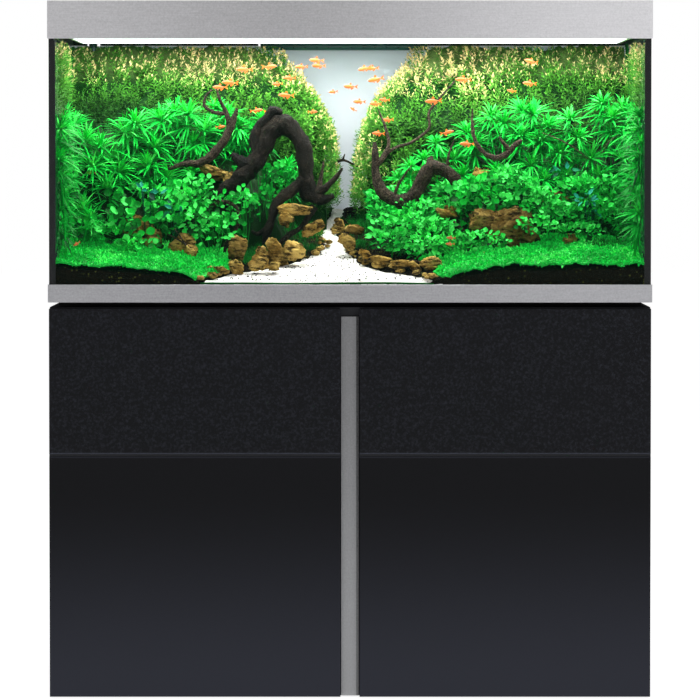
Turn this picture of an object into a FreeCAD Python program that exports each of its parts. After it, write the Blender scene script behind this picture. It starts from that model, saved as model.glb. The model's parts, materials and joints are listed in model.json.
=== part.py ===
import FreeCAD, Part
import math
import os
import re
import Sketcher

# Aquarium on a two-door stand. Millimetres, +Z up, +X to the right, the doors face -Y.
# The origin is the middle of the footprint, on the floor.

DIMENSIONS = {
    # overall
    "tank_width": 1120.0,
    "tank_depth": 540.0,
    "cabinet_step": 2.0,
    "cabinet_height": 727.5,
    "view_height": 455.2,
    "hood_height": 70.3,
    # cabinet
    "board": 18.0,
    "top_chamfer": 1.0,
    "rear_reveal": 2.0,
    "back_panel": 8.0,
    "back_inset": 10.0,
    "glide_height": 3.0,
    "glide_radius": 12.0,
    "glide_inset": 60.0,
    "shelf_height": 392.0,
    "shelf_setback": 25.0,
    "shelf_side_gap": 1.0,
    "pin_radius": 2.5,
    "pin_depth": 9.0,
    "pin_reach": 8.0,
    "pin_inset": 70.0,
    "port_width": 160.0,
    "port_height": 90.0,
    "port_radius": 30.0,
    "port_level": 560.0,
    # doors
    "door_board": 18.0,
    "door_facing": 4.0,
    "door_gap": 3.5,
    "door_top_gap": 3.0,
    "door_bottom": 3.0,
    "door_split": 452.6,
    "door_groove": 5.0,
    "centre_gap": 35.2,
    "strip_width": 33.6,
    "strip_depth": 5.5,
    "strip_wall": 1.5,
    "strip_bottom": 3.0,
    # door hinges
    "hinge_edge": 9.0,
    "hinge_pin_depth": 11.0,
    "cup_edge": 22.5,
    "cup_radius": 17.5,
    "cup_depth": 16.6,
    "cup_wall": 1.2,
    "cup_floor": 1.0,
    "cup_play": 0.1,
    "hinge_pin_radius": 1.25,
    "hinge_play": 0.05,
    "eye_radius": 2.4,
    "arm_thickness": 3.0,
    "arm_height": 6.0,
    "lug_gap": 0.6,
    "lug_thickness": 3.0,
    "plate_start": 20.0,
    "arm_length": 52.0,
    "arm_standoff": 4.5,
    "plate_height": 44.0,
    "lowest_hinge": 95.0,
    "hinge_pitch": 267.0,
    # tank base
    "riser_height": 8.8,
    "riser_setback": 95.0,
    "riser_side_inset": 12.0,
    "riser_rear_inset": 43.0,
    "base_height": 33.2,
    "trim_wall": 1.5,
    "trim_play": 0.3,
    "tray_thickness": 6.0,
    "mat_thickness": 4.0,
    # glass
    "glass": 10.0,
    "seam": 1.5,
    "bead": 2.0,
    "sheet_thickness": 0.8,
    # hood
    "hood_overlap": 5.0,
    "frame_wall": 4.0,
    "frame_ledge": 4.0,
    "ledge_width": 13.5,
    "upper_ledge": 12.0,
    "lip_play": 0.8,
    "lip_wall": 2.5,
    "lip_drop": 4.0,
    "lid_thickness": 8.0,
    "lid_sink": 3.0,
    "lid_play": 1.5,
    "lid_ledge": 3.0,
    "lid_gap": 2.0,
    "bridge_width": 44.0,
    "bridge_drop": 14.0,
    "rear_cover_depth": 112.0,
    "grip_radius": 14.0,
    "rod_radius": 2.0,
    "rod_play": 0.06,
    "notch_width": 26.0,
    "notch_height": 30.0,
    "lamp_half_length": 525.0,
    "lamp_front": -180.0,
    "lamp_depth": 340.0,
    "lamp_bottom_gap": 2.1,
    "lens_thickness": 4.0,
    "lens_rim": 6.0,
    "lamp_height": 22.0,
    "bracket_width": 60.0,
    # filter, heater and pipes
    "canister_width": 230.0,
    "canister_depth": 190.0,
    "canister_height": 300.0,
    "canister_wall": 4.0,
    "canister_round": 28.0,
    "canister_x": 285.0,
    "canister_y": 20.0,
    "head_height": 70.0,
    "head_overhang": 6.0,
    "tail_radius": 8.0,
    "tail_bore": 6.0,
    "tail_height": 42.0,
    "tail_pitch": 60.0,
    "latch_width": 44.0,
    "latch_height": 62.0,
    "latch_thickness": 5.0,
    "latch_pin_radius": 2.5,
    "latch_level": 12.0,
    "lever_offset": 42.0,
    "lever_rise": 8.0,
    "ear_play": 1.0,
    "hook_play": 1.5,
    "pipe_radius": 8.0,
    "pipe_bore": 6.0,
    "pipe_inset": 18.0,
    "pipe_bend": 14.0,
    "intake_inset": 55.0,
    "intake_clearance": 51.7,
    "return_x": -168.0,
    "spray_end": 152.0,
    "spray_drop": 1.0,
    "rim_gap": 1.1,
    "heater_radius": 14.0,
    "heater_inset": 55.0,
    "heater_clearance": 26.7,
    "heater_length": 210.0,
    "heater_cap": 42.0,
    "cup_foot_radius": 13.0,
    # planting
    "bed_play": 0.6,
    "bed_front_side": 48.5,
    "bed_front_mid": 17.5,
    "bed_back_side": 175.5,
    "bed_back_mid": 149.5,
    "sand_drop": 3.0,
}

doc = FreeCAD.newDocument("aquarium_on_stand")
sheet = doc.addObject("Spreadsheet::Sheet", "Sizes")
for row, (alias, size) in enumerate(DIMENSIONS.items(), start=1):
    sheet.set(f"A{row}", alias)
    sheet.set(f"B{row}", str(size))
    sheet.setAlias(f"B{row}", alias)
doc.recompute()

# Places that several pieces share, in the sheet's words.
CARCASS_FRONT = "(-tank_depth/2 + door_facing + door_board + door_gap)"
CARCASS_BACK = "(tank_depth/2 - rear_reveal)"
CARCASS_DEPTH = f"({CARCASS_BACK} - {CARCASS_FRONT})"
PANEL_FRONT = f"({CARCASS_BACK} - back_inset - back_panel)"
INSIDE_DEPTH = f"({PANEL_FRONT} - {CARCASS_FRONT})"
SIDE_HEIGHT = "(cabinet_height - board - glide_height)"
FLOOR_TOP = "(glide_height + board)"
BAY_WIDTH = "(cabinet_width/2 - 1.5*board)"
DOOR_BACK = "(-tank_depth/2 + door_facing + door_board)"
DOOR_WIDTH = "(cabinet_width/2 - centre_gap/2)"
DOOR_TOP = "(cabinet_height - door_top_gap)"
TRAY_Z = "(cabinet_height + riser_height)"
TRIM_TOP = f"({TRAY_Z} + base_height)"
PANE_Z = f"({TRAY_Z} + tray_thickness + mat_thickness)"
WALL_Z = f"({PANE_Z} + glass + seam)"
HOOD_Z = f"({TRIM_TOP} + view_height)"
GLASS_TOP = f"({HOOD_Z} + hood_overlap)"
HOOD_TOP = f"({HOOD_Z} + hood_height)"
GLASS_X = "(tank_width/2 - trim_wall - trim_play)"
GLASS_Y = "(tank_depth/2 - trim_wall - trim_play)"
INNER_X = f"({GLASS_X} - glass)"
INNER_Y = f"({GLASS_Y} - glass)"
LID_TOP = f"({HOOD_TOP} - lid_sink)"
LID_Z = f"({LID_TOP} - lid_thickness)"
FRAME_X = "(tank_width/2 - trim_wall)"
FRAME_Y = "(tank_depth/2 - trim_wall)"
LEDGE_TOP = f"({GLASS_TOP} + frame_ledge)"
COVER_FRONT = f"({FRAME_Y} - frame_wall - rear_cover_depth)"
ROD_Y = f"({COVER_FRONT} - lid_gap - 2*rod_radius)"
ROD_Z = f"({LID_Z} + lid_thickness/2)"
LAMP_Z = f"({HOOD_Z} + lamp_bottom_gap)"
BED_Z = WALL_Z


# Sizes that follow from the ones in the sheet, in the sheet's words.
BED_SIDE_TOP = f"({BED_Z} + bed_back_side)"
FOLLOWING = {
    "cabinet_width": "(tank_width - 2*cabinet_step)",
    "riser_depth": "(tank_depth - riser_setback - rear_reveal - riser_rear_inset)",
    "intake_x": "(intake_inset - tank_width/2)",
    "intake_foot": f"({BED_SIDE_TOP} + intake_clearance)",
    "heater_x": "(tank_width/2 - heater_inset)",
    "heater_foot": f"({BED_SIDE_TOP} + heater_clearance)",
}


def worded(expression):
    """The expression with each alias pointed at its cell in the sheet."""
    text = str(expression)
    for name, meaning in FOLLOWING.items():
        text = re.sub(rf"\b{name}\b", meaning, text)
    found = re.sub(r"[a-z][a-z_]+[a-z]", lambda m: "Sizes." + m.group(0), text)
    return found.replace("Sizes.Sizes.", "Sizes.")


def number(expression):
    """What the expression comes to now."""
    return float(sheet.evalExpression(worded(expression)))


def bind(thing, prop, expression):
    thing.setExpression(prop, worded(expression))


def put(thing, x="0", y="0", z="0"):
    for axis, expression in zip("xyz", (x, y, z)):
        bind(thing, f".Placement.Base.{axis}", expression)
    return thing


def block(label, size, at):
    """A box with its lowest corner at `at`."""
    made = doc.addObject("Part::Box", label)
    made.Label = label
    for prop, expression in zip(("Length", "Width", "Height"), size):
        bind(made, prop, expression)
    return put(made, *at)


def rod(label, radius, length, at, direction=(0, 0, 1)):
    """A round bar that starts at `at` and runs along direction."""
    made = doc.addObject("Part::Cylinder", label)
    made.Label = label
    bind(made, "Radius", radius)
    bind(made, "Height", length)
    turn = FreeCAD.Rotation(FreeCAD.Vector(0, 0, 1), FreeCAD.Vector(*direction))
    made.Placement = FreeCAD.Placement(FreeCAD.Vector(), turn)
    return put(made, *at)


def cut(label, base, tool):
    made = doc.addObject("Part::Cut", label)
    made.Label, made.Base, made.Tool = label, base, tool
    return made


def fuse(label, *parts):
    made = doc.addObject("Part::MultiFuse", label)
    made.Label, made.Shapes = label, list(parts)
    return made


def group(label, *parts):
    """Separate solids that share one node."""
    made = doc.addObject("Part::Compound", label)
    made.Label, made.Links = label, list(parts)
    return made


def feature(label, shape):
    made = doc.addObject("Part::Feature", label)
    made.Label, made.Shape = label, shape
    return made


def ring(label, half_x, half_y, wall, z, height):
    """A rectangular ring with its outside at half_x and half_y."""
    outside = block(label + "_outside", (f"2*{half_x}", f"2*{half_y}", height),
                    (f"-{half_x}", f"-{half_y}", z))
    inside = block(
        label + "_inside",
        (f"2*({half_x} - {wall})", f"2*({half_y} - {wall})", f"{height} + 2"),
        (f"-({half_x} - {wall})", f"-({half_y} - {wall})", f"{z} - 1"),
    )
    return cut(label, outside, inside)


def origin_plane(body, role):
    return next(f for f in body.Origin.OriginFeatures if f.Role == role)


def outline(body, name, role, points):
    """A closed sketch of straight lines whose corners are bound to the sheet."""
    made = body.newObject("Sketcher::SketchObject", name)
    made.AttachmentSupport = [(origin_plane(body, role), "")]
    made.MapMode = "FlatFace"
    places = [FreeCAD.Vector(number(x), number(y), 0) for x, y in points]
    last = len(points) - 1
    for i, start in enumerate(places):
        made.addGeometry(Part.LineSegment(start, places[(i + 1) % len(places)]), False)
    for i in range(len(points)):
        made.addConstraint(Sketcher.Constraint("Coincident", i, 2, i + 1 if i < last else 0, 1))
    for i, point in enumerate(points):
        for kind, axis, expression in zip(("DistanceX", "DistanceY"), (-2, -1), point):
            if number(expression) == 0:
                made.addConstraint(Sketcher.Constraint("PointOnObject", i, 1, axis))
                continue
            at = made.addConstraint(Sketcher.Constraint(kind, -1, 1, i, 1, number(expression)))
            made.renameConstraint(at, f"{kind}_{i}")
            bind(made, f"Constraints.{kind}_{i}", expression)
    return made


def rectangle(x_low, y_low, x_high, y_high):
    return [(x_low, y_low), (x_high, y_low), (x_high, y_high), (x_low, y_high)]


def pad(body, name, sketch, length, reverse=False):
    made = body.newObject("PartDesign::Pad", name)
    made.Profile = sketch
    made.Reversed = reverse
    bind(made, "Length", length)
    sketch.Visibility = False
    return made


def pocket(body, name, sketch, length, reverse=False):
    made = body.newObject("PartDesign::Pocket", name)
    made.Profile = sketch
    made.Reversed = reverse
    bind(made, "Length", length)
    return made


def new_body(label):
    made = doc.addObject("PartDesign::Body", label)
    made.Label = label
    return made


def edges_of(thing, wanted):
    """Names of the edges of a feature's shape that wanted() picks."""
    return [f"Edge{i}" for i, e in enumerate(thing.Shape.Edges, start=1) if wanted(e)]


def dressed(body, kind, name, base, wanted, prop, expression):
    """A PartDesign Fillet or Chamfer on the picked edges."""
    doc.recompute()
    made = body.newObject(kind, name)
    made.Base = (base, edges_of(base, wanted))
    bind(made, prop, expression)
    return made


def upright(edge):
    ends = edge.Vertexes
    return len(ends) == 2 and abs(ends[0].Z - ends[1].Z) > 1 and abs(ends[0].X - ends[1].X) < 0.01


# ---------------------------------------------------------------- cabinet carcass

def cabinet_boards():
    pin_y = (f"({CARCASS_FRONT} + pin_inset)", f"({PANEL_FRONT} - pin_inset)")
    pin_z = "(shelf_height - pin_radius)"

    def pin_holes(label, x):
        return fuse(label, *[
            rod(f"{label}_{i}", "pin_radius", "pin_depth + 1", (x, y, pin_z), (1, 0, 0))
            for i, y in enumerate(pin_y)
        ])

    side = block("side_left_blank", ("board", CARCASS_DEPTH, SIDE_HEIGHT),
                 ("-cabinet_width/2", CARCASS_FRONT, "glide_height"))
    left = cut("cabinet_side_left", side,
               pin_holes("left_pin_holes", "(-cabinet_width/2 + board - pin_depth)"))
    right = block("cabinet_side_right", ("board", CARCASS_DEPTH, SIDE_HEIGHT),
                  ("(cabinet_width/2 - board)", CARCASS_FRONT, "glide_height"))
    top = new_body("cabinet_top")
    plan = outline(top, "top_plan", "XY_Plane",
                   rectangle("-cabinet_width/2", CARCASS_FRONT, "cabinet_width/2", CARCASS_BACK))
    slab = pad(top, "top_slab", plan, "board")
    dressed(top, "PartDesign::Chamfer", "top_edges", slab,
            lambda e: e.BoundBox.ZMin > number("board") - 0.1, "Size", "top_chamfer")
    put(top, z="cabinet_height - board")
    floor = block("cabinet_bottom", ("cabinet_width - 2*board", INSIDE_DEPTH, "board"),
                  ("(-cabinet_width/2 + board)", CARCASS_FRONT, "glide_height"))
    divider_blank = block("divider_blank", ("board", INSIDE_DEPTH, f"cabinet_height - board - {FLOOR_TOP}"),
                          ("-board/2", CARCASS_FRONT, FLOOR_TOP))
    divider = cut("cabinet_divider", divider_blank, pin_holes("divider_pin_holes", "(-board/2 - 1)"))
    shelf = block("cabinet_shelf",
                  (f"{BAY_WIDTH} - 2*shelf_side_gap", f"{INSIDE_DEPTH} - 2*shelf_setback", "board"),
                  ("(-cabinet_width/2 + board + shelf_side_gap)", f"({CARCASS_FRONT} + shelf_setback)",
                   "shelf_height"))
    pins = group("shelf_pins", *[
        rod(f"shelf_pin_{i}_{j}", "pin_radius", "pin_depth + pin_reach", (x, y, pin_z), (1, 0, 0))
        for i, x in enumerate(("(-cabinet_width/2 + board - pin_depth)", "(-board/2 - pin_reach)"))
        for j, y in enumerate(pin_y)
    ])
    return [left, right, top, floor, divider, shelf, pins]


def cabinet_back():
    """The rear panel with a rounded hose and cable port behind each bay."""
    back = new_body("cabinet_back")
    face = outline(back, "back_face", "XZ_Plane",
                   rectangle("(-cabinet_width/2 + board)", FLOOR_TOP, "(cabinet_width/2 - board)",
                             "(cabinet_height - board)"))
    panel = pad(back, "back_sheet", face, "back_panel", reverse=True)
    doc.recompute()
    for side, x in (("left", f"-({BAY_WIDTH}/2 + board/2)"), ("right", f"({BAY_WIDTH}/2 + board/2)")):
        hole = outline(back, f"port_{side}", "XZ_Plane",
                       rectangle(f"{x} - port_width/2", "port_level - port_height/2",
                                 f"{x} + port_width/2", "port_level + port_height/2"))
        panel = pocket(back, f"port_{side}_cut", hole, "back_panel + 1")
    middle = number("back_panel") / 2
    dressed(back, "PartDesign::Fillet", "port_rounds", panel,
            lambda e: abs(e.CenterOfMass.y - middle) < 0.1 and e.BoundBox.YLength > middle
            and abs(abs(e.CenterOfMass.x) - number(f"{BAY_WIDTH}/2 + board/2")) < number("port_width"),
            "Radius", "port_radius")
    return [put(back, y=PANEL_FRONT)]


def floor_glides():
    """Eight pads under the carcass: near the sides and a third of the way in, at the front and the back."""
    made = []
    for x in ("(cabinet_width/2 - glide_radius)", "(cabinet_width/6)"):
        for sign in ("-", ""):
            for y in (f"({CARCASS_FRONT} + glide_inset)", f"({PANEL_FRONT} - glide_inset)"):
                made.append(rod(f"glide_{len(made)}", "glide_radius", "glide_height", (f"{sign}{x}", y, "0")))
    return [group("floor_glides", *made)]


def centre_strip():
    """The brushed channel on the front edge of the divider, between the doors."""
    strip = new_body("centre_strip")
    back = CARCASS_FRONT
    front = f"({CARCASS_FRONT} - strip_depth)"
    half = "(strip_width/2)"
    inner = "(strip_width/2 - strip_wall)"
    channel = [
        (f"-{half}", back), (f"-{half}", front), (half, front), (half, back),
        (inner, back), (inner, f"({front} + strip_wall)"), (f"-{inner}", f"({front} + strip_wall)"),
        (f"-{inner}", back),
    ]
    section = outline(strip, "strip_section", "XY_Plane", channel)
    bar = pad(strip, "strip_bar", section, "cabinet_height - board - strip_bottom")
    front_y = number(front)
    dressed(strip, "PartDesign::Fillet", "strip_rounds", bar,
            lambda e: upright(e) and abs(e.CenterOfMass.y - front_y) < 0.01, "Radius", "strip_wall*0.6")
    return [put(strip, z="strip_bottom")]


# ---------------------------------------------------------------- doors and hinges

def hinge_levels():
    return [f"(lowest_hinge + {i}*hinge_pitch)" for i in range(3)]


def door(side):
    """One door: a board bored for its hinge cups, with an upper and a lower facing sheet."""
    sign = "-" if side == "left" else ""
    low_x = "-cabinet_width/2" if side == "left" else "centre_gap/2"
    blank = block(f"door_{side}_blank", (DOOR_WIDTH, "door_board", f"{DOOR_TOP} - door_bottom"),
                  (low_x, "(-tank_depth/2 + door_facing)", "door_bottom"))
    cup_x = f"{sign}(cabinet_width/2 - cup_edge)"
    bores = fuse(f"door_{side}_bores", *[
        rod(f"door_{side}_bore_{i}", "cup_radius + cup_play", "cup_depth + cup_play + 1",
            (cup_x, f"({DOOR_BACK} - cup_depth - cup_play)", z), (0, 1, 0))
        for i, z in enumerate(hinge_levels())
    ])
    board = cut(f"door_{side}_board", blank, bores)
    facings = []
    for name, low, high in (("lower", "door_bottom", "(door_split - door_groove/2)"),
                            ("upper", "(door_split + door_groove/2)", DOOR_TOP)):
        body = new_body(f"door_{side}_{name}_facing")
        face = outline(body, f"{side}_{name}_face", "XZ_Plane",
                       rectangle(low_x, low, f"{low_x} + {DOOR_WIDTH}", high))
        panel = pad(body, f"{side}_{name}_panel", face, "door_facing", reverse=True)
        dressed(body, "PartDesign::Chamfer", f"{side}_{name}_bevel", panel,
                lambda e: e.BoundBox.YMax < 0.01, "Size", "door_facing/5")
        facings.append(put(body, y="-tank_depth/2"))
    cups = group(f"door_{side}_hinge_cups", *[
        feature(f"cup_{side}_{i}", cup_shape(side, number(z))) for i, z in enumerate(hinge_levels())
    ])
    return [board, *facings, cups]


def pivot(side):
    """X and Y of a door's hinge axis."""
    x = number("cabinet_width/2 - hinge_edge")
    return (-x if side == "left" else x), number(f"{DOOR_BACK} - hinge_pin_depth")


def cup_shape(side, z):
    """A pressed hinge cup with two lugs that carry the pin."""
    across = FreeCAD.Vector(0, 1, 0)
    centre_x = number("cabinet_width/2 - cup_edge") * (-1 if side == "left" else 1)
    floor_y = number(f"{DOOR_BACK} - cup_depth")
    radius, wall, deep = number("cup_radius"), number("cup_wall"), number("cup_depth")
    bottom = number("cup_floor")
    shell = Part.makeCylinder(radius, deep, FreeCAD.Vector(centre_x, floor_y, z), across)
    hollow = Part.makeCylinder(radius - wall, deep, FreeCAD.Vector(centre_x, floor_y + bottom, z), across)
    pin_x, pin_y = pivot(side)
    half_gap, thick = number("arm_height/2 + lug_gap"), number("lug_thickness")
    reach = number("eye_radius")
    lugs = []
    for sign in (-1, 1):
        low = z + (half_gap if sign > 0 else -half_gap - thick)
        lug = Part.makeBox(2 * reach, reach + pin_y - floor_y, thick,
                           FreeCAD.Vector(pin_x - reach, floor_y, low))
        lugs.append(lug.common(Part.makeCylinder(radius, deep, FreeCAD.Vector(centre_x, floor_y, z), across)))
    cup = shell.cut(hollow).fuse(lugs)
    bore_radius = number("hinge_pin_radius + hinge_play")
    bore = Part.makeCylinder(bore_radius, 2 * (half_gap + thick) + 2,
                             FreeCAD.Vector(pin_x, pin_y, z - half_gap - thick - 1))
    return cup.cut(bore).removeSplitter()


def arm_shape(side, z):
    """The cranked arm from the carcass side into the cup, with the pin's eye on its end."""
    half = number("arm_thickness/2")
    tall = number("arm_height")
    eye = number("eye_radius")
    plane = number("hinge_pin_depth + door_gap")
    foot = number("board - hinge_edge + arm_standoff") + half
    line = [(0, 0), (6, -2.8), (foot, -1.0), (foot, plane + number("arm_length"))]
    left_edge, right_edge = offset_line(line, half), offset_line(line, -half)
    corners = [FreeCAD.Vector(x, y, -tall / 2) for x, y in left_edge + right_edge[::-1]]
    bar = Part.Face(Part.makePolygon(corners + corners[:1])).extrude(FreeCAD.Vector(0, 0, tall))
    ring_outside = Part.makeCylinder(eye, tall, FreeCAD.Vector(0, 0, -tall / 2))
    hole = Part.makeCylinder(number("hinge_pin_radius"), tall + 2, FreeCAD.Vector(0, 0, -tall / 2 - 1))
    arm = bar.fuse(ring_outside).cut(hole).removeSplitter()
    if side == "right":
        arm = arm.mirror(FreeCAD.Vector(0, 0, 0), FreeCAD.Vector(1, 0, 0))
    pin_x, pin_y = pivot(side)
    arm.translate(FreeCAD.Vector(pin_x, pin_y, z))
    return arm


def offset_line(line, distance):
    """The points of an open line moved sideways, mitred at its corners."""
    made = []
    for i, (x, y) in enumerate(line):
        before = line[max(i - 1, 0)]
        after = line[min(i + 1, len(line) - 1)]
        first = unit(x - before[0], y - before[1]) if i else unit(after[0] - x, after[1] - y)
        second = unit(after[0] - x, after[1] - y) if i < len(line) - 1 else first
        nx, ny = unit(-first[1] - second[1], first[0] + second[0])
        stretch = distance / (nx * -first[1] + ny * first[0])
        made.append((x + nx * stretch, y + ny * stretch))
    return made


def unit(x, y):
    size = math.hypot(x, y)
    return x / size, y / size


def hinges():
    arms, pins = [], []
    for side in ("left", "right"):
        pin_x, pin_y = pivot(side)
        for i, level in enumerate(hinge_levels()):
            z = number(level)
            arms.append(feature(f"hinge_arm_{side}_{i}", arm_shape(side, z)))
            length = number("arm_height + 2*lug_gap + 2*lug_thickness")
            pins.append(feature(f"hinge_pin_{side}_{i}", Part.makeCylinder(
                number("hinge_pin_radius"), length, FreeCAD.Vector(pin_x, pin_y, z - length / 2))))
            inside = "(cabinet_width/2 - board)"
            low_x = f"-{inside}" if side == "left" else f"({inside} - arm_standoff)"
            arms.append(block(f"hinge_plate_{side}_{i}",
                              ("arm_standoff", "arm_length - plate_start", "plate_height"),
                              (low_x, f"({CARCASS_FRONT} + plate_start/2)", f"({level} - plate_height/2)")))
    return [group("hinge_arms", *arms), group("hinge_pins", *pins)]


# ---------------------------------------------------------------- tank

def banded(label, height, z):
    """A thin metal band round the whole footprint, its outer edges slightly broken."""
    body = new_body(label)
    half_x, half_y = "(tank_width/2)", "(tank_depth/2)"
    plan = outline(body, label + "_plan", "XY_Plane", rectangle(f"-{half_x}", f"-{half_y}", half_x, half_y))
    blank = pad(body, label + "_blank", plan, height)
    blank = dressed(body, "PartDesign::Fillet", label + "_corners", blank, upright, "Radius", "trim_wall*1.2")
    blank = dressed(body, "PartDesign::Chamfer", label + "_edges", blank,
                    lambda e: e.BoundBox.ZLength < 0.01, "Size", "trim_wall*0.4")
    inside = outline(body, label + "_hollow_plan", "XY_Plane",
                     rectangle("-(tank_width/2 - trim_wall)", "-(tank_depth/2 - trim_wall)",
                               "(tank_width/2 - trim_wall)", "(tank_depth/2 - trim_wall)"))
    pocket(body, label + "_hollow", inside, f"{height} + 1", reverse=True)
    return put(body, z=z)


def tank_base():
    riser = block("riser", ("cabinet_width - 2*riser_side_inset", "riser_depth", "riser_height"),
                  ("-(cabinet_width/2 - riser_side_inset)", "(-tank_depth/2 + riser_setback)",
                   "cabinet_height"))
    flat = (f"2*{GLASS_X}", f"2*{GLASS_Y}")
    corner = (f"-{GLASS_X}", f"-{GLASS_Y}")
    tray = block("base_tray", (*flat, "tray_thickness"), (*corner, TRAY_Z))
    mat = block("foam_mat", (*flat, "mat_thickness"), (*corner, f"({TRAY_Z} + tray_thickness)"))
    return [riser, tray, mat, banded("base_trim", "base_height", TRAY_Z)]


def glass_box():
    flat = (f"2*{GLASS_X}", f"2*{GLASS_Y}")
    wall = f"({GLASS_TOP} - {WALL_Z})"
    bottom = block("glass_bottom", (*flat, "glass"), (f"-{GLASS_X}", f"-{GLASS_Y}", PANE_Z))
    front = block("glass_front", (flat[0], "glass", wall), (f"-{GLASS_X}", f"-{GLASS_Y}", WALL_Z))
    back = block("glass_back", (flat[0], "glass", wall), (f"-{GLASS_X}", INNER_Y, WALL_Z))
    between = f"2*({INNER_Y} - seam)"
    left = block("glass_left", ("glass", between, wall), (f"-{GLASS_X}", f"-({INNER_Y} - seam)", WALL_Z))
    right = block("glass_right", ("glass", between, wall), (INNER_X, f"-({INNER_Y} - seam)", WALL_Z))
    film = block("background_film", (flat[0], "sheet_thickness", f"view_height - 2*trim_play"),
                 (f"-{GLASS_X}", GLASS_Y, f"({TRIM_TOP} + trim_play)"))
    strips = [ring("seam_foot", GLASS_X, GLASS_Y, "glass", f"({PANE_Z} + glass)", "seam"),
              ring("bead_foot", INNER_X, INNER_Y, "bead", f"({PANE_Z} + glass)", "seam + bead")]
    for i, (x, bead_x) in enumerate(((f"-{GLASS_X}", f"-{INNER_X}"), (INNER_X, f"({INNER_X} - bead)"))):
        rows = ((f"-{INNER_Y}", f"-{INNER_Y}"), (f"({INNER_Y} - seam)", f"({INNER_Y} - bead)"))
        for j, (y, bead_y) in enumerate(rows):
            strips.append(block(f"seam_{i}{j}", ("glass", "seam", wall), (x, y, WALL_Z)))
            bead_size = ("bead", "bead", f"{wall} - 2*lip_drop")
            strips.append(block(f"bead_{i}{j}", bead_size, (bead_x, bead_y, WALL_Z)))
    return [bottom, front, back, left, right, film, fuse("silicone_seams", *strips)]


# ---------------------------------------------------------------- hood

def notch_spots():
    return ("intake_x", "return_x")


def notches(label, reach):
    """Pipe notches at the rear, open at the bottom so the hood lifts straight off."""
    return fuse(label, *[
        block(f"{label}_{i}", ("notch_width", reach, "notch_height + 10"),
              (f"({x} - notch_width/2)", f"(tank_depth/2 + 1 - {reach})", f"({HOOD_Z} - 10)"))
        for i, x in enumerate(notch_spots())
    ])


def hood_shell():
    band = cut("hood_band", banded("band_blank", "hood_height", HOOD_Z), notches("band_notches", "8"))
    wall = ring("frame_wall_ring", FRAME_X, FRAME_Y, "frame_wall", GLASS_TOP,
                f"({HOOD_TOP} - trim_play) - {GLASS_TOP}")
    ledge = ring("frame_ledge_ring", FRAME_X, FRAME_Y, "ledge_width", GLASS_TOP, "frame_ledge")
    lip = ring("frame_lip_ring", f"({INNER_X} - lip_play)", f"({INNER_Y} - lip_play)", "lip_wall",
               f"({GLASS_TOP} - lip_drop)", "lip_drop + 1")
    rest = ring("lid_rest_ring", FRAME_X, FRAME_Y, "upper_ledge", f"({LID_Z} - lid_ledge)", "lid_ledge")
    shell = fuse("frame_blank", wall, ledge, lip, rest)
    swing = block("rod_relief", (f"2*({FRAME_X} - frame_wall)", "lid_gap + 5*rod_radius", "2*lid_thickness"),
                  (f"-({FRAME_X} - frame_wall)", f"({ROD_Y} - 4*rod_radius)", f"({LID_Z} - lid_thickness)"))
    socket = rod("frame_rod_socket", "rod_radius", f"2*({FRAME_X} - frame_wall/2)",
                 (f"-({FRAME_X} - frame_wall/2)", ROD_Y, ROD_Z), (1, 0, 0))
    frame = cut("hood_frame", shell, fuse("frame_tools", swing, socket, notches("frame_notches", "40")))
    cover = block("hood_rear_cover", (f"2*({FRAME_X} - frame_wall)", "rear_cover_depth", "lid_thickness"),
                  (f"-({FRAME_X} - frame_wall)", COVER_FRONT, LID_Z))
    beam = block("bridge_beam",
                 ("bridge_width", f"({COVER_FRONT} + {FRAME_Y} - frame_wall)", "lid_thickness"),
                 ("-bridge_width/2", f"-({FRAME_Y} - frame_wall)", LID_Z))
    rib = block("bridge_rib", ("bridge_width/3", f"({COVER_FRONT} + {FRAME_Y} - upper_ledge)", "bridge_drop"),
                ("-bridge_width/6", f"-({FRAME_Y} - upper_ledge)", f"({LID_Z} - bridge_drop)"))
    bore = rod("bridge_bore", "rod_radius", "bridge_width + 2",
               ("(-bridge_width/2 - 1)", ROD_Y, ROD_Z), (1, 0, 0))
    bridge = cut("hood_bridge", fuse("bridge_blank", beam, rib), bore)
    spindle = rod("lid_hinge_rod", "rod_radius", f"2*({FRAME_X} - frame_wall/2)",
                  (f"-({FRAME_X} - frame_wall/2)", ROD_Y, ROD_Z), (1, 0, 0))
    return [band, frame, cover, bridge, spindle]


def lid(side):
    """A flap bored for the hinge rod, with a half-round finger notch in its front edge."""
    length = f"({FRAME_X} - frame_wall - bridge_width/2 - 2*lid_play)"
    low_x = f"-({FRAME_X} - frame_wall - lid_play)" if side == "left" else "(bridge_width/2 + lid_play)"
    low_y = f"-({FRAME_Y} - frame_wall - lid_play)"
    plate = block(f"lid_{side}_blank", (length, f"({COVER_FRONT} - lid_gap) - {low_y}", "lid_thickness"),
                  (low_x, low_y, LID_Z))
    bore = rod(f"lid_{side}_bore", "rod_radius + rod_play", f"{length} + 2",
               (f"({low_x} - 1)", ROD_Y, ROD_Z), (1, 0, 0))
    grip = rod(f"lid_{side}_grip", "grip_radius", "lid_thickness + 2",
               (f"({low_x} + {length}/2)", low_y, f"({LID_Z} - 1)"))
    return cut(f"lid_{side}", plate, fuse(f"lid_{side}_tools", bore, grip))


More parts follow.
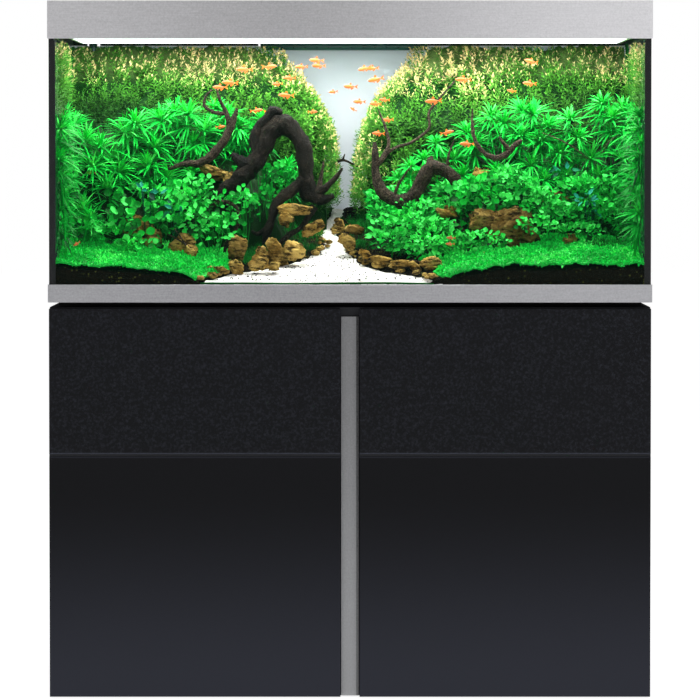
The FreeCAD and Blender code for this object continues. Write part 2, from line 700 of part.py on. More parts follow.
def lamp():
    """The LED lamp under the lids: a finned housing, two diffusers and its end brackets."""
    half = "lamp_half_length"
    case = block("lamp_case", (f"2*{half}", "lamp_depth", "lamp_height"), (f"-{half}", "lamp_front", LAMP_Z))
    lens_depth = "(lamp_depth/2 - 1.5*lens_rim)"
    lens_rows = ("(lamp_front + lens_rim)", "(lamp_front + lamp_depth/2 + lens_rim/2)")

    def lenses(name):
        return [block(f"{name}_{i}", (f"2*({half} - lens_rim)", lens_depth, "lens_thickness"),
                      (f"-({half} - lens_rim)", y, LAMP_Z)) for i, y in enumerate(lens_rows)]

    fin_count = 12
    fins = [block(f"lamp_fin_{i}", (f"2*({half} - 4*lens_rim)", "lens_rim/2", "1.5*lens_rim"),
                  (f"-({half} - 4*lens_rim)", f"(lamp_front + (lamp_depth - lens_rim/2)*{i}/{fin_count - 1})",
                   f"({LAMP_Z} + lamp_height)")) for i in range(fin_count)]
    gland = rod("lamp_gland", "lens_rim*0.8", "2.5*lens_rim",
                (f"({half} - 8*lens_rim)", "(lamp_front + lamp_depth)", f"({LAMP_Z} + lamp_height/2)"),
                (0, 1, 0))
    seats = fuse("lens_seats", *lenses("lens_seat"))
    housing = cut("lamp_housing", fuse("lamp_blank", case, gland, *fins), seats)
    diffusers = group("lamp_lenses", *lenses("lamp_lens"))
    arm_rows = ("(lamp_front + lamp_depth/4 - bracket_width/2)",
                "(lamp_front + 3*lamp_depth/4 - bracket_width/2)")
    reach = f"({FRAME_X} - frame_wall - {half})"
    brackets = group("lamp_brackets", *[
        block(f"lamp_bracket_{i}{j}", (reach, "bracket_width", "lens_rim"), (x, y, LEDGE_TOP))
        for i, x in enumerate((f"-({FRAME_X} - frame_wall)", half)) for j, y in enumerate(arm_rows)
    ])
    return [housing, diffusers, brackets]


# ---------------------------------------------------------------- filter, heater and pipes

CAN_TOP = f"({FLOOR_TOP} + canister_height)"
HEAD_TOP = f"({CAN_TOP} + head_height)"


def rounded_block(label, half_x, half_y, height, radius):
    """A body whose plan is a rectangle about its own origin, with rounded uprights."""
    body = new_body(label)
    plan = outline(body, label + "_plan", "XY_Plane", rectangle(f"-{half_x}", f"-{half_y}", half_x, half_y))
    blank = pad(body, label + "_blank", plan, height)
    return body, dressed(body, "PartDesign::Fillet", label + "_rounds", blank, upright, "Radius", radius)


def canister():
    half_x, half_y = "(canister_width/2)", "(canister_depth/2)"
    body, _ = rounded_block("canister_tub", half_x, half_y, "canister_height", "canister_round")
    put(body, "canister_x", "canister_y", FLOOR_TOP)
    rim, _ = rounded_block("canister_rim", f"({half_x} + canister_wall)", f"({half_y} + canister_wall)",
                           "2*canister_wall", "canister_round + canister_wall")
    put(rim, "canister_x", "canister_y", f"({CAN_TOP} - 4*canister_wall)")
    hollow, _ = rounded_block("canister_hollow", f"({half_x} - canister_wall)", f"({half_y} - canister_wall)",
                              "canister_height", "canister_round - canister_wall")
    put(hollow, "canister_x", "canister_y", f"({FLOOR_TOP} + canister_wall)")
    return cut("filter_canister", fuse("canister_outside", body, rim), hollow)


def latch_axis(side):
    sign = "-" if side == "left" else "+"
    reach = "(canister_width/2 + head_overhang + latch_thickness + ear_play)"
    return f"(canister_x {sign} {reach})", f"({CAN_TOP} + latch_level)"


def ear_pair(name, side):
    """Two ears that carry a latch pin, outside the latch's ends."""
    x, z = latch_axis(side)
    low_x = f"({x} - latch_thickness)" if side == "left" else f"({x} - latch_thickness - ear_play)"
    made = []
    size = ("2*latch_thickness + ear_play", "latch_thickness", "2*latch_thickness")
    rows = ("(canister_y - latch_width/2 - ear_play - latch_thickness)",
            "(canister_y + latch_width/2 + ear_play)")
    for i, y in enumerate(rows):
        made.append(block(f"{name}_{side}_{i}", size, (low_x, y, f"({z} - latch_thickness)")))
    return made


def pin_between(label, side):
    x, z = latch_axis(side)
    length = "(latch_width + 2*ear_play + 2*latch_thickness)"
    return rod(label, "latch_pin_radius", length, (x, f"(canister_y - {length}/2)", z), (0, 1, 0))


def lever_axis():
    return "(canister_y - lever_offset)", f"({HEAD_TOP} + lever_rise)"


def lever_pin(label, extra="0"):
    y, z = lever_axis()
    length = f"(latch_width + 2*ear_play + 2*latch_thickness + {extra})"
    return rod(label, "latch_pin_radius", length, (f"(canister_x - {length}/2)", y, z), (1, 0, 0))


def filter_head():
    half_x, half_y = "(canister_width/2 + head_overhang)", "(canister_depth/2 + head_overhang)"
    cap, _ = rounded_block("head_cap", half_x, half_y, "head_height", "canister_round + head_overhang")
    put(cap, "canister_x", "canister_y", CAN_TOP)
    valve = block("valve_block", ("2*tail_pitch", "tail_pitch", "3*tail_radius"),
                  ("(canister_x - tail_pitch)", "(canister_y - tail_pitch/2)", HEAD_TOP))
    parts = [cap, valve]
    bores = []
    for i, x in enumerate(("(canister_x - tail_pitch/2)", "(canister_x + tail_pitch/2)")):
        foot = f"({HEAD_TOP} + 3*tail_radius)"
        parts.append(rod(f"hose_tail_{i}", "tail_radius", "tail_height", (x, "canister_y", foot)))
        for j in range(3):
            barb = f"({foot} + tail_height*{j + 2}/5)"
            parts.append(rod(f"hose_barb_{i}{j}", "tail_radius + 1", "tail_height/10",
                             (x, "canister_y", barb)))
        bores.append(rod(f"tail_bore_{i}", "tail_bore", "tail_height + 1", (x, "canister_y", foot)))
    parts.append(rod("filter_gland", "tail_radius", "2*tail_radius",
                     ("(canister_x + canister_width/4)", f"(canister_y + {half_y} - 1)",
                      f"({CAN_TOP} + head_height/2)"), (0, 1, 0)))
    parts += ear_pair("latch_ear", "left") + ear_pair("latch_ear", "right")
    y, z = lever_axis()
    ear = ("latch_thickness", "2*latch_thickness", "lever_rise + latch_thickness")
    columns = ("(canister_x - latch_width/2 - ear_play - latch_thickness)",
               "(canister_x + latch_width/2 + ear_play)")
    for i, x in enumerate(columns):
        parts.append(block(f"lever_ear_{i}", ear, (x, f"({y} - latch_thickness)", HEAD_TOP)))
    bores += [pin_between(f"latch_bore_{side}", side) for side in ("left", "right")]
    bores.append(lever_pin("lever_bore"))
    head = cut("filter_head", fuse("head_blank", *parts), fuse("head_bores", *bores))
    pins = group("filter_pins", pin_between("latch_pin_left", "left"),
                 pin_between("latch_pin_right", "right"), lever_pin("lever_pin"))
    return [head, pins]


def latch(side):
    x, z = latch_axis(side)
    foot = f"({z} - latch_height)"
    plate = block(f"latch_plate_{side}", ("latch_thickness", "latch_width", "latch_height"),
                  (f"({x} - latch_thickness/2)", "(canister_y - latch_width/2)", foot))
    eye = rod(f"latch_eye_{side}", "latch_thickness", "latch_width",
              (x, "(canister_y - latch_width/2)", z), (0, 1, 0))
    reach = "(head_overhang + ear_play + latch_thickness/2 - hook_play)"
    hook_x = f"({x} + latch_thickness/2)" if side == "left" else f"({x} - latch_thickness/2 - {reach})"
    hook = block(f"latch_hook_{side}", (reach, "latch_width", "2*latch_thickness"),
                 (hook_x, "(canister_y - latch_width/2)", f"({foot} + latch_thickness)"))
    hole = rod(f"latch_hole_{side}", "latch_pin_radius + hinge_play", "latch_width + 2",
               (x, "(canister_y - latch_width/2 - 1)", z), (0, 1, 0))
    return cut(f"filter_latch_{side}", fuse(f"latch_blank_{side}", plate, eye, hook), hole)


def filter_lever():
    y, z = lever_axis()
    blade = block("lever_blade", ("latch_width", "latch_thickness", "latch_height*0.8"),
                  ("(canister_x - latch_width/2)", f"({y} - latch_thickness/2)", z))
    eye = rod("lever_eye", "latch_thickness", "latch_width",
              ("(canister_x - latch_width/2)", y, z), (1, 0, 0))
    hole = rod("lever_hole", "latch_pin_radius + hinge_play", "latch_width + 2",
               ("(canister_x - latch_width/2 - 1)", y, z), (1, 0, 0))
    return cut("filter_lever", fuse("lever_blank", blade, eye), hole)


PIPE_Y = f"({INNER_Y} - pipe_inset)"
PIPE_Z = f"({GLASS_TOP} + rim_gap + pipe_radius)"
PIPE_END = "(tank_depth/2 - 1)"


def swept(radius, points, bend):
    """A round bar along points, each inner corner turned at the bend radius."""
    parts = []
    start = points[0]
    for i, corner in enumerate(points[1:-1], start=1):
        before = (start - corner).normalize()
        after = (points[i + 1] - corner).normalize()
        first, second = corner + before * bend, corner + after * bend
        middle = corner + (before + after) * bend
        mid = middle - (before + after).normalize() * bend
        parts += [Part.makeLine(start, first), Part.Arc(first, mid, second).toShape()]
        start = second
    parts.append(Part.makeLine(start, points[-1]))
    direction = points[1] - points[0]
    profile = Part.Wire(Part.Edge(Part.Circle(points[0], direction, radius)))
    return Part.Wire(parts).makePipeShell([profile], True, False)


def intake_pipe():
    x, y, z, end = (number(v) for v in ("intake_x", PIPE_Y, PIPE_Z, PIPE_END))
    foot = number("intake_foot")
    line = [FreeCAD.Vector(x, y, foot), FreeCAD.Vector(x, y, z), FreeCAD.Vector(x, end, z)]
    radius, bore = number("pipe_radius"), number("pipe_bore")
    outside, inside = swept(radius, line, number("pipe_bend")), swept(bore, line, number("pipe_bend"))
    basket = Part.makeCylinder(radius + 3, 70, FreeCAD.Vector(x, y, foot - 5))
    slots = []
    for i in range(6):
        slot = Part.makeBox(2 * radius + 8, 2, 48, FreeCAD.Vector(x - radius - 4, y - 1, foot + 6))
        slot.rotate(FreeCAD.Vector(x, y, 0), FreeCAD.Vector(0, 0, 1), 30 * i + 15)
        slots.append(slot)
    well = Part.makeCylinder(bore, 60, FreeCAD.Vector(x, y, foot))
    return feature("intake_pipe", outside.fuse(basket).cut(inside).cut(well).cut(slots).removeSplitter())


def spray_bar():
    """The return pipe over the rim and the jet bar along the back, closed at its far end."""
    x, y, z, end = (number(v) for v in ("return_x", PIPE_Y, PIPE_Z, PIPE_END))
    level, last = number(f"{HOOD_Z} - spray_drop"), number("spray_end")
    radius, bore = number("pipe_radius"), number("pipe_bore")
    parts = [Part.makeCylinder(radius, end - y, FreeCAD.Vector(x, y, z), FreeCAD.Vector(0, 1, 0)),
             Part.makeCylinder(radius, z - level, FreeCAD.Vector(x, y, level)),
             Part.makeSphere(radius, FreeCAD.Vector(x, y, z)),
             Part.makeSphere(radius, FreeCAD.Vector(x, y, level)),
             Part.makeCylinder(radius, last - x, FreeCAD.Vector(x, y, level), FreeCAD.Vector(1, 0, 0))]
    whole = parts[0].fuse(parts[1:])
    tools = [Part.makeCylinder(bore, end - y, FreeCAD.Vector(x, y + 8, z), FreeCAD.Vector(0, 1, 0))]
    jets = 14
    jet = 1.5
    aim = FreeCAD.Vector(0, -1, -0.4)
    for i in range(jets):
        at = x + (last - x) * (i + 0.5) / jets
        tools.append(Part.makeCylinder(jet, radius, FreeCAD.Vector(at, y, level), aim))
    return feature("spray_bar", whole.cut(tools).removeSplitter())


def heater():
    reach = "(heater_radius + 4)"
    y = f"({INNER_Y} - {reach})"
    tube = rod("heater_tube", "heater_radius", "heater_length", ("heater_x", y, "heater_foot"))
    cap_z = "(heater_foot + heater_length)"
    cap = rod("heater_cap_ring", "heater_radius + 1", "heater_cap", ("heater_x", y, cap_z))
    gland = rod("heater_gland", "heater_radius/3", "heater_cap/3", ("heater_x", y, f"({cap_z} + heater_cap)"))
    return fuse("heater", tube, cap, gland)


def suction_cups():
    """Soft cups between the back pane and the intake pipe or the heater."""
    glass_y = number(INNER_Y)
    foot = number("cup_foot_radius")
    back = FreeCAD.Vector(0, -1, 0)
    pipe_stub = number(f"{INNER_Y} - {PIPE_Y} - pipe_radius")
    spots = [("intake_x", number("intake_foot") + rise, pipe_stub) for rise in (120, 200)]
    spots += [("heater_x", number(f"heater_foot + heater_length*{share}"), 4.0) for share in (0.2, 0.8)]
    cups = [Part.makeCone(foot, foot / 3, stub, FreeCAD.Vector(number(x), glass_y, z), back)
            for x, z, stub in spots]
    return group("suction_cups", *[feature(f"suction_cup_{i}", cup) for i, cup in enumerate(cups)])


# ---------------------------------------------------------------- planting

# The bed's height across the width: how far along the half width, and how much of the rise to the sides.
BED_PROFILE = [(-1.0, 1.0), (-0.77, 0.66), (-0.6, 0.42), (-0.5, 0.0), (0.0, 0.0), (0.27, 0.13), (0.5, 0.77),
               (0.72, 0.9), (1.0, 1.0)]
# The winding path's left and right edges at seven depths from the front glass to the back.
PATH_EDGES = [(-270, -290, 162), (-240, -230, 120), (-199, -95, 62), (-98, -47, 4), (10, -64, -28),
              (118, -43, -20), (270, -22, 6)]
# Limbs of wood as x, y, z and radius along each one.
LEFT_LIMBS = [
    [(-222, -70, 880, 13), (-238, -66, 930, 15), (-206, -66, 975, 16), (-170, -66, 1010, 15),
     (-150, -64, 1052, 17),
     (-134, -62, 1070, 19), (-108, -62, 1058, 17), (-86, -64, 1022, 15), (-90, -66, 975, 14),
     (-76, -68, 930, 14),
     (-52, -70, 926, 11), (-30, -72, 928, 6)],
    [(-66, -68, 936, 10), (-30, -72, 962, 8), (-18, -74, 972, 6), (-13, -76, 991, 3)],
    [(-60, -66, 945, 8), (-52, -60, 975, 5), (-50, -56, 999, 3)],
    [(-88, -70, 955, 11), (-104, -76, 945, 10), (-140, -86, 922, 9), (-152, -92, 880, 8),
     (-154, -96, 820, 6)],
    [(-68, -72, 915, 10), (-98, -84, 866, 8), (-132, -92, 815, 6)],
    [(-340, -60, 985, 7), (-293, -58, 996, 8), (-254, -58, 1022, 10), (-226, -56, 1066, 9),
     (-212, -54, 1092, 5)],
    [(-222, -56, 1074, 7), (-238, -50, 1096, 6), (-272, -46, 1104, 5), (-264, -44, 1129, 3)],
    [(-296, -90, 915, 5), (-277, -94, 903, 6), (-238, -98, 915, 6), (-212, -104, 894, 6),
     (-220, -108, 861, 6),
     (-236, -112, 810, 5)],
]
RIGHT_LIMBS = [
    [(49, -60, 1034, 5), (48, -62, 981, 9), (58, -64, 941, 13), (92, -66, 921, 15), (124, -64, 936, 15),
     (138, -62, 964, 16), (158, -62, 984, 15), (188, -62, 972, 12), (221, -66, 930, 8), (232, -70, 860, 6)],
    [(52, -62, 990, 8), (74, -56, 1020, 7), (69, -52, 1062, 5), (57, -48, 1092, 3)],
    [(66, -58, 1010, 7), (113, -50, 1032, 7), (149, -46, 1056, 6), (155, -44, 1092, 5),
     (199, -40, 1151, 2.5)],
    [(84, -66, 930, 5), (100, -80, 968, 3)],
    [(180, -62, 976, 6), (192, -74, 1039, 3)],
    [(96, -66, 915, 10), (122, -76, 860, 8), (121, -84, 812, 6)],
    [(140, -66, 945, 8), (196, -84, 880, 6), (232, -96, 850, 5), (224, -104, 812, 4)],
]
# Stones as x, y, top z, half width, half depth; each is turned on from the one before, in degrees.
STONE_TURN = 17
STONES = [(-386, -118, 888, 30, 24), (-322, -124, 856, 17, 17), (-262, -8, 984, 27, 22),
          (-188, -150, 838, 22, 16), (-262, -196, 806, 14, 10), (-228, -204, 804, 12, 10),
          (-190, -200, 812, 16, 10),
          (-150, -206, 806, 11, 9), (276, -14, 996, 24, 24), (300, -108, 908, 56, 30),
          (404, -18, 940, 34, 22),
          (252, -152, 838, 15, 13), (150, -158, 822, 19, 14), (18, -176, 806, 11, 9),
          (46, -206, 800, 14, 9),
          (92, -204, 806, 18, 10), (132, -212, 796, 12, 8), (420, -176, 850, 11, 9)]
# Fish as x, y, z and the way each one faces, in degrees.
FISH = [(-207, -40, 1170, 20), (-155, -20, 1172, 200), (-66, -10, 1188, 10), (-95, 10, 1176, 190),
        (28, 0, 1172, 170),
        (50, -30, 1150, 30), (0, 20, 1138, 160), (-34, -20, 1128, 15), (18, 0, 1108, 185),
        (-140, 20, 1120, 350),
        (-250, -10, 1136, 170), (67, 20, 1106, 200), (90, -20, 1078, 20), (160, 10, 1110, 160),
        (220, -20, 1152, 10),
        (352, 0, 1180, 190), (-520, -205, 850, 20)]


# The tank's clear half width, half depth, floor and water height for which the planting was laid out.
LAID_OUT = (548.2, 258.2, 757.8, 466.9)


def in_tank(x, y, z=0.0):
    """A place in the planting's layout, moved in step with the tank's walls, floor and rim."""
    half, deep, floor, water = LAID_OUT
    rise = (z - floor) * number(f"{HOOD_Z} - {BED_Z}") / water
    return FreeCAD.Vector(x * number(INNER_X) / half, y * number(INNER_Y) / deep, number(BED_Z) + rise)


def bed_height(x, y):
    """Top of the planting bed above the bottom pane's seam, straight from front to back."""
    half, deep = number(INNER_X), number(INNER_Y)
    for (x0, f0), (x1, f1) in zip(BED_PROFILE, BED_PROFILE[1:]):
        if x <= x1 * half or x1 == 1:
            share = f0 + (f1 - f0) * (x / half - x0) / (x1 - x0)
            break
    front = number("bed_front_mid") + share * number("bed_front_side - bed_front_mid")
    back = number("bed_back_mid") + share * number("bed_back_side - bed_back_mid")
    return front + (back - front) * (y + deep) / (2 * deep)


def bed_blank(drop=0.0, top=None):
    """The whole wedge of soil, or everything above its surface when top is given."""
    half, deep = number(f"{INNER_X} - bed_play"), number(f"{INNER_Y} - bed_play")
    base = number(BED_Z)
    wires = []
    for y in (-deep, deep):
        line = [FreeCAD.Vector(x * half, y, base + bed_height(x * half, y) - drop) for x, _ in BED_PROFILE]
        floor = base - number("seam") if top is None else top
        line += [FreeCAD.Vector(half, y, floor), FreeCAD.Vector(-half, y, floor)]
        wires.append(Part.makePolygon(line + line[:1]))
    return Part.makeLoft(wires, True, True)


def path_prism(grow):
    left = [(x_low - grow, y) for y, x_low, _ in PATH_EDGES]
    right = [(x_high + grow, y) for y, _, x_high in PATH_EDGES]
    base = number(BED_Z) - 10
    points = [in_tank(x, y) for x, y in left + right[::-1]]
    points = [FreeCAD.Vector(point.x, point.y, base) for point in points]
    return Part.Face(Part.makePolygon(points + points[:1])).extrude(FreeCAD.Vector(0, 0, 300))


def bed(seams):
    doc.recompute()
    solid, path = bed_blank(), path_prism(0)
    soil = solid.cut(path).cut(seams.Shape)
    sand = bed_blank(number("sand_drop")).common(path).cut(seams.Shape)
    return [feature("soil_bed", soil), feature("sand_path", sand)]


def limb(points):
    """One tapered limb: seven-sided rings along its line, lofted straight from each to the next."""
    sides = 7
    spots = [in_tank(x, y, z) for x, y, z, _ in points]
    wires = []
    across = FreeCAD.Vector(0, 1, 0)
    for i, (spot, (*_, radius)) in enumerate(zip(spots, points)):
        along = (spots[min(i + 1, len(spots) - 1)] - spots[max(i - 1, 0)]).normalize()
        up = along.cross(across).normalize()
        side = up.cross(along).normalize()
        ring_points = []
        for j in range(sides):
            angle = 2 * math.pi * j / sides
            ring_points.append(spot + up * (radius * math.cos(angle)) + side * (radius * math.sin(angle)))
        wires.append(Part.makePolygon(ring_points + ring_points[:1]))
    return Part.makeLoft(wires, True, True)


def driftwood(ground):
    pieces = []
    for limbs in (LEFT_LIMBS, RIGHT_LIMBS):
        parts = [limb(points) for points in limbs]
        pieces.append(parts[0].fuse(parts[1:]).cut(ground))
    return pieces


def stone(x, y, top, half_x, half_y, turn):
    """A faceted block: an eight-sided plan that narrows to the top."""
    base = number(BED_Z) + bed_height(x, y - half_y) - 6
    levels = ((0.0, 0.86), (0.35, 1.0), (0.8, 0.86), (1.0, 0.5))
    wires = []
    for rise, spread in levels:
        ring_points = []
        for i in range(8):
            angle = math.radians(45 * i + turn)
            ring_points.append(FreeCAD.Vector(x + half_x * spread * math.cos(angle),
                                              y + half_y * spread * math.sin(angle),
                                              base + rise * (top - base)))
        wires.append(Part.makePolygon(ring_points + ring_points[:1]))
    return Part.makeLoft(wires, True, True)


def stones(ground, wood):
    made = []
    for i, (x, y, top, half_x, half_y) in enumerate(STONES):
        spot = in_tank(x, y, top)
        made.append(stone(*spot, half_x, half_y, STONE_TURN * i).cut(ground).cut(wood))
    return Part.makeCompound([s for shape in made for s in shape.Solids if s.Volume > 200])


def bush(x, y, top, radius, foot, ground):
    """One plant's mass: a spindle, narrow at the foot, widest above the middle."""
    base = number(BED_Z) + bed_height(x, y) - 12
    height = top - base
    belly = base + 0.55 * height
    lower = Part.makeCone(foot, radius, belly - base, FreeCAD.Vector(x, y, base))
    upper = Part.makeCone(radius, radius * 0.35, top - belly, FreeCAD.Vector(x, y, belly))
    return lower.fuse(upper).removeSplitter().cut(ground)


def hedge(label, spots, ground, others=()):
    made = []
    for x, y, top, radius, foot in spots:
        plant = bush(*in_tank(x, y, top), radius, foot, ground)
        if others:
            plant = plant.cut(list(others))
        made += [s for s in plant.Solids if s.Volume > 500]
    return feature(label, Part.makeCompound(made))


def planting(seams):
    soil, sand = bed(seams)
    ground = [soil.Shape, sand.Shape]
    wood = driftwood(ground)
    timber = feature("driftwood", Part.makeCompound([s for w in wood for s in w.Solids]))
    rock = feature("stones", stones(ground, wood))
    pitch = 62
    tall = [(sign * (74 + pitch * i), 166, 1205 - 14 * ((i * 3) % 4) - 60 * (i == 0), 29, 9)
            for sign in (-1, 1) for i in range(8)]
    stems = hedge("stem_plants", tall, ground)
    rosettes = [(-496, 52, 1085, 46, 12), (-398, 52, 1010, 44, 12), (-330, 62, 1080, 20, 6),
                (212, 60, 1030, 42, 12), (318, 52, 1070, 46, 12), (420, 56, 1040, 44, 12),
                (510, 50, 1060, 34, 10)]
    spikes = hedge("spiky_plants", rosettes, ground, [rock.Shape, stems.Shape])
    low = [(-455, -96, 950, 30, 12), (-500, -172, 860, 24, 12), (-432, -196, 848, 26, 12),
           (-345, -202, 838, 24, 12),
           (-345, -10, 960, 22, 10), (-300, -160, 850, 18, 9), (120, -118, 862, 14, 7),
           (212, -206, 838, 22, 12), (290, -190, 850, 28, 12), (372, -204, 850, 28, 12),
           (456, -90, 958, 28, 12),
           (480, -190, 862, 34, 12), (372, -124, 900, 12, 6), (340, 0, 968, 18, 8)]
    leaves = hedge("leafy_plants", low, ground, [rock.Shape, *wood, spikes.Shape])
    return [soil, sand, timber, rock, stems, spikes, leaves, school()]


def school():
    """Small deep-bodied fish: two cones nose to tail and a flat tail fin."""
    made = []
    for i, (x, y, z, turn) in enumerate(FISH):
        ahead = FreeCAD.Vector(1, 0, 0)
        head = Part.makeCone(0.5, 4.5, 11, FreeCAD.Vector(14, 0, 0), FreeCAD.Vector(-1, 0, 0))
        body = Part.makeCone(0.5, 4.5, 17, FreeCAD.Vector(-14, 0, 0), ahead)
        fin = Part.makeBox(6, 1, 9, FreeCAD.Vector(-18, -0.5, -4.5))
        fish = head.fuse([body, fin])
        fish.rotate(FreeCAD.Vector(0, 0, 0), FreeCAD.Vector(0, 0, 1), turn)
        fish.translate(in_tank(x, y, z))
        made.append(feature(f"fish_{i}", fish))
    return group("fish", *made)


# ---------------------------------------------------------------- build and write

def build():
    nodes = cabinet_boards() + cabinet_back() + floor_glides() + centre_strip()
    nodes += door("left") + door("right") + hinges()
    tank = glass_box()
    nodes += tank_base() + tank
    nodes += hood_shell() + [lid("left"), lid("right")] + lamp()
    nodes += [canister(), *filter_head(), latch("left"), latch("right"), filter_lever()]
    nodes += [intake_pipe(), spray_bar(), heater(), suction_cups()]
    nodes += planting(tank[-1])
    return nodes


def write(nodes):
    doc.recompute()
    for thing in doc.Objects:
        bad = {"Invalid", "Error"} & set(thing.State)
        if bad:
            raise RuntimeError(f"{thing.Label} is {bad}")
    os.makedirs("parts", exist_ok=True)
    for node in nodes:
        shape = node.Shape
        if shape.isNull() or not shape.isValid() or not shape.Solids:
            raise RuntimeError(f"{node.Label} has no sound solid")
        shape.exportStep(f"parts/{node.Label}.step")
        print(node.Label, len(shape.Solids), round(shape.Volume / 1000, 1))


write(build())
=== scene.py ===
import json
import math
import bpy
import numpy as np
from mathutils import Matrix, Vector

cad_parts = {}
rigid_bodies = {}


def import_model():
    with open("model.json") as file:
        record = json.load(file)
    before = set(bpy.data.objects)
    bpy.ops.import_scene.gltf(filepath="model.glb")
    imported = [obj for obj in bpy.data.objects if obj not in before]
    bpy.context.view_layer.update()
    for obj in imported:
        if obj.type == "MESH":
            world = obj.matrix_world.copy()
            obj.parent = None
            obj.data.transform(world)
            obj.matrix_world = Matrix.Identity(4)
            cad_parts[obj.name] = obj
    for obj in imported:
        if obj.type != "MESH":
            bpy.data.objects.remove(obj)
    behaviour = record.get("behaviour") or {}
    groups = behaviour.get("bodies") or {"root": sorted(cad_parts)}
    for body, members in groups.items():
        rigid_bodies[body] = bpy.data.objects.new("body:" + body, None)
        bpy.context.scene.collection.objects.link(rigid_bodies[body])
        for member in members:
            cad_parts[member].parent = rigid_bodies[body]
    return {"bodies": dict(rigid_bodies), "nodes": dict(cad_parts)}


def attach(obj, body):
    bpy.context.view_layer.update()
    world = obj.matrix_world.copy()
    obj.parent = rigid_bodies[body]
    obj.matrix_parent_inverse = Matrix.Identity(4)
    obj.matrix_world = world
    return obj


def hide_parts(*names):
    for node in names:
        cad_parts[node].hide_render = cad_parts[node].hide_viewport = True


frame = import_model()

scene = bpy.context.scene
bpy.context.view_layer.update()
chance = np.random.default_rng(41)
root = "stand_and_tank"
print("frame loaded")


class Wire:
    # a shader socket that adds, multiplies and blends like a number
    def __init__(self, tree, socket):
        self.tree, self.socket = tree, socket

    def math(self, kind, *others, first=None):
        node = self.tree.nodes.new("ShaderNodeMath")
        node.operation = kind
        for slot, value in zip(node.inputs, (self if first is None else first, *others)):
            plug(self.tree, slot, value)
        return Wire(self.tree, node.outputs[0])

    def __add__(self, other):
        return self.math("ADD", other)

    def __radd__(self, other):
        return self + other

    def __sub__(self, other):
        return self.math("SUBTRACT", other)

    def __rsub__(self, other):
        return self.math("SUBTRACT", self, first=other)

    def __mul__(self, other):
        return self.math("MULTIPLY", other)

    def __rmul__(self, other):
        return self * other

    def clamp(self):
        return self.math("MINIMUM", 1.0).math("MAXIMUM", 0.0)

    def between(self, low, high):
        # 0 at low, 1 at high, smooth in between
        node = self.tree.nodes.new("ShaderNodeMapRange")
        node.interpolation_type = "SMOOTHSTEP"
        for slot, value in zip(node.inputs, (self, low, high, 0.0, 1.0)):
            plug(self.tree, slot, value)
        return Wire(self.tree, node.outputs[0])

    def blend(self, low, high):
        # the colour between low and high as this goes from 0 to 1
        node = self.tree.nodes.new("ShaderNodeMix")
        node.data_type = "RGBA"
        for slot, value in zip((node.inputs[0], node.inputs[6], node.inputs[7]), (self, low, high)):
            plug(self.tree, slot, value)
        return Wire(self.tree, node.outputs[2])


def plug(tree, slot, value):
    if isinstance(value, Wire):
        tree.links.new(value.socket, slot)
    elif isinstance(value, tuple) and len(value) == 3 and slot.type == "RGBA":
        slot.default_value = (*value, 1.0)
    else:
        slot.default_value = value


class Paint:
    # one material: its nodes are asked for by type, settings and socket values
    def __init__(self, name, **uniform):
        self.material = bpy.data.materials.new(name)
        self.material.use_nodes = True
        self.tree = self.material.node_tree
        self.shader = self.tree.nodes["Principled BSDF"]
        self.set(**uniform)

    def set(self, **values):
        for key, value in values.items():
            plug(self.tree, self.shader.inputs[key.replace("_", " ")], value)
        return self

    def node(self, kind, settings=None, values=None, out=0):
        made = self.tree.nodes.new(kind)
        for key, value in (settings or {}).items():
            setattr(made, key, value)
        for key, value in (values or {}).items():
            plug(self.tree, made.inputs[key], value)
        return Wire(self.tree, made.outputs[out])

    def place(self, stretch=(1, 1, 1)):
        here = self.node("ShaderNodeTexCoord", out=3)
        return self.node("ShaderNodeVectorMath", {"operation": "MULTIPLY"}, {0: here, 1: stretch})

    def axis(self, letter):
        made = self.tree.nodes.new("ShaderNodeSeparateXYZ")
        plug(self.tree, made.inputs[0], self.place())
        return Wire(self.tree, made.outputs["XYZ".index(letter)])

    def noise(self, scale, detail=3.0, rough=0.55, stretch=(1, 1, 1)):
        values = {"Vector": self.place(stretch), "Scale": scale, "Detail": detail, "Roughness": rough}
        return self.node("ShaderNodeTexNoise", values=values)

    def cells(self, scale, out=0):
        return self.node("ShaderNodeTexVoronoi", values={"Vector": self.place(), "Scale": scale}, out=out)

    def own(self, name):
        return self.node("ShaderNodeAttribute", {"attribute_name": name}, out=2)

    def bump(self, height, strength, distance):
        values = {"Height": height, "Strength": strength, "Distance": distance}
        return self.set(Normal=self.node("ShaderNodeBump", values=values))


def flat(name, colour, rough, metal=0.0, spec=0.5, **more):
    return Paint(name, Base_Color=colour, Roughness=rough, Metallic=metal, Specular_IOR_Level=spec, **more)


def grid(points, wrap=False, tint=0.0, along=None):
    # points is patches x rows x columns x 3; tint and along are kept on every point
    count, rows, columns, _ = points.shape
    if along is None:
        along = np.linspace(0, 1, rows)[None, :, None]
    shape = (count, rows, columns)
    tint = np.asarray(tint, float)
    tint = tint.reshape(tint.shape + (1,) * (3 - tint.ndim)) if tint.ndim else tint
    return {"points": points, "wrap": wrap, "tint": np.broadcast_to(tint, shape),
            "along": np.broadcast_to(along, shape)}


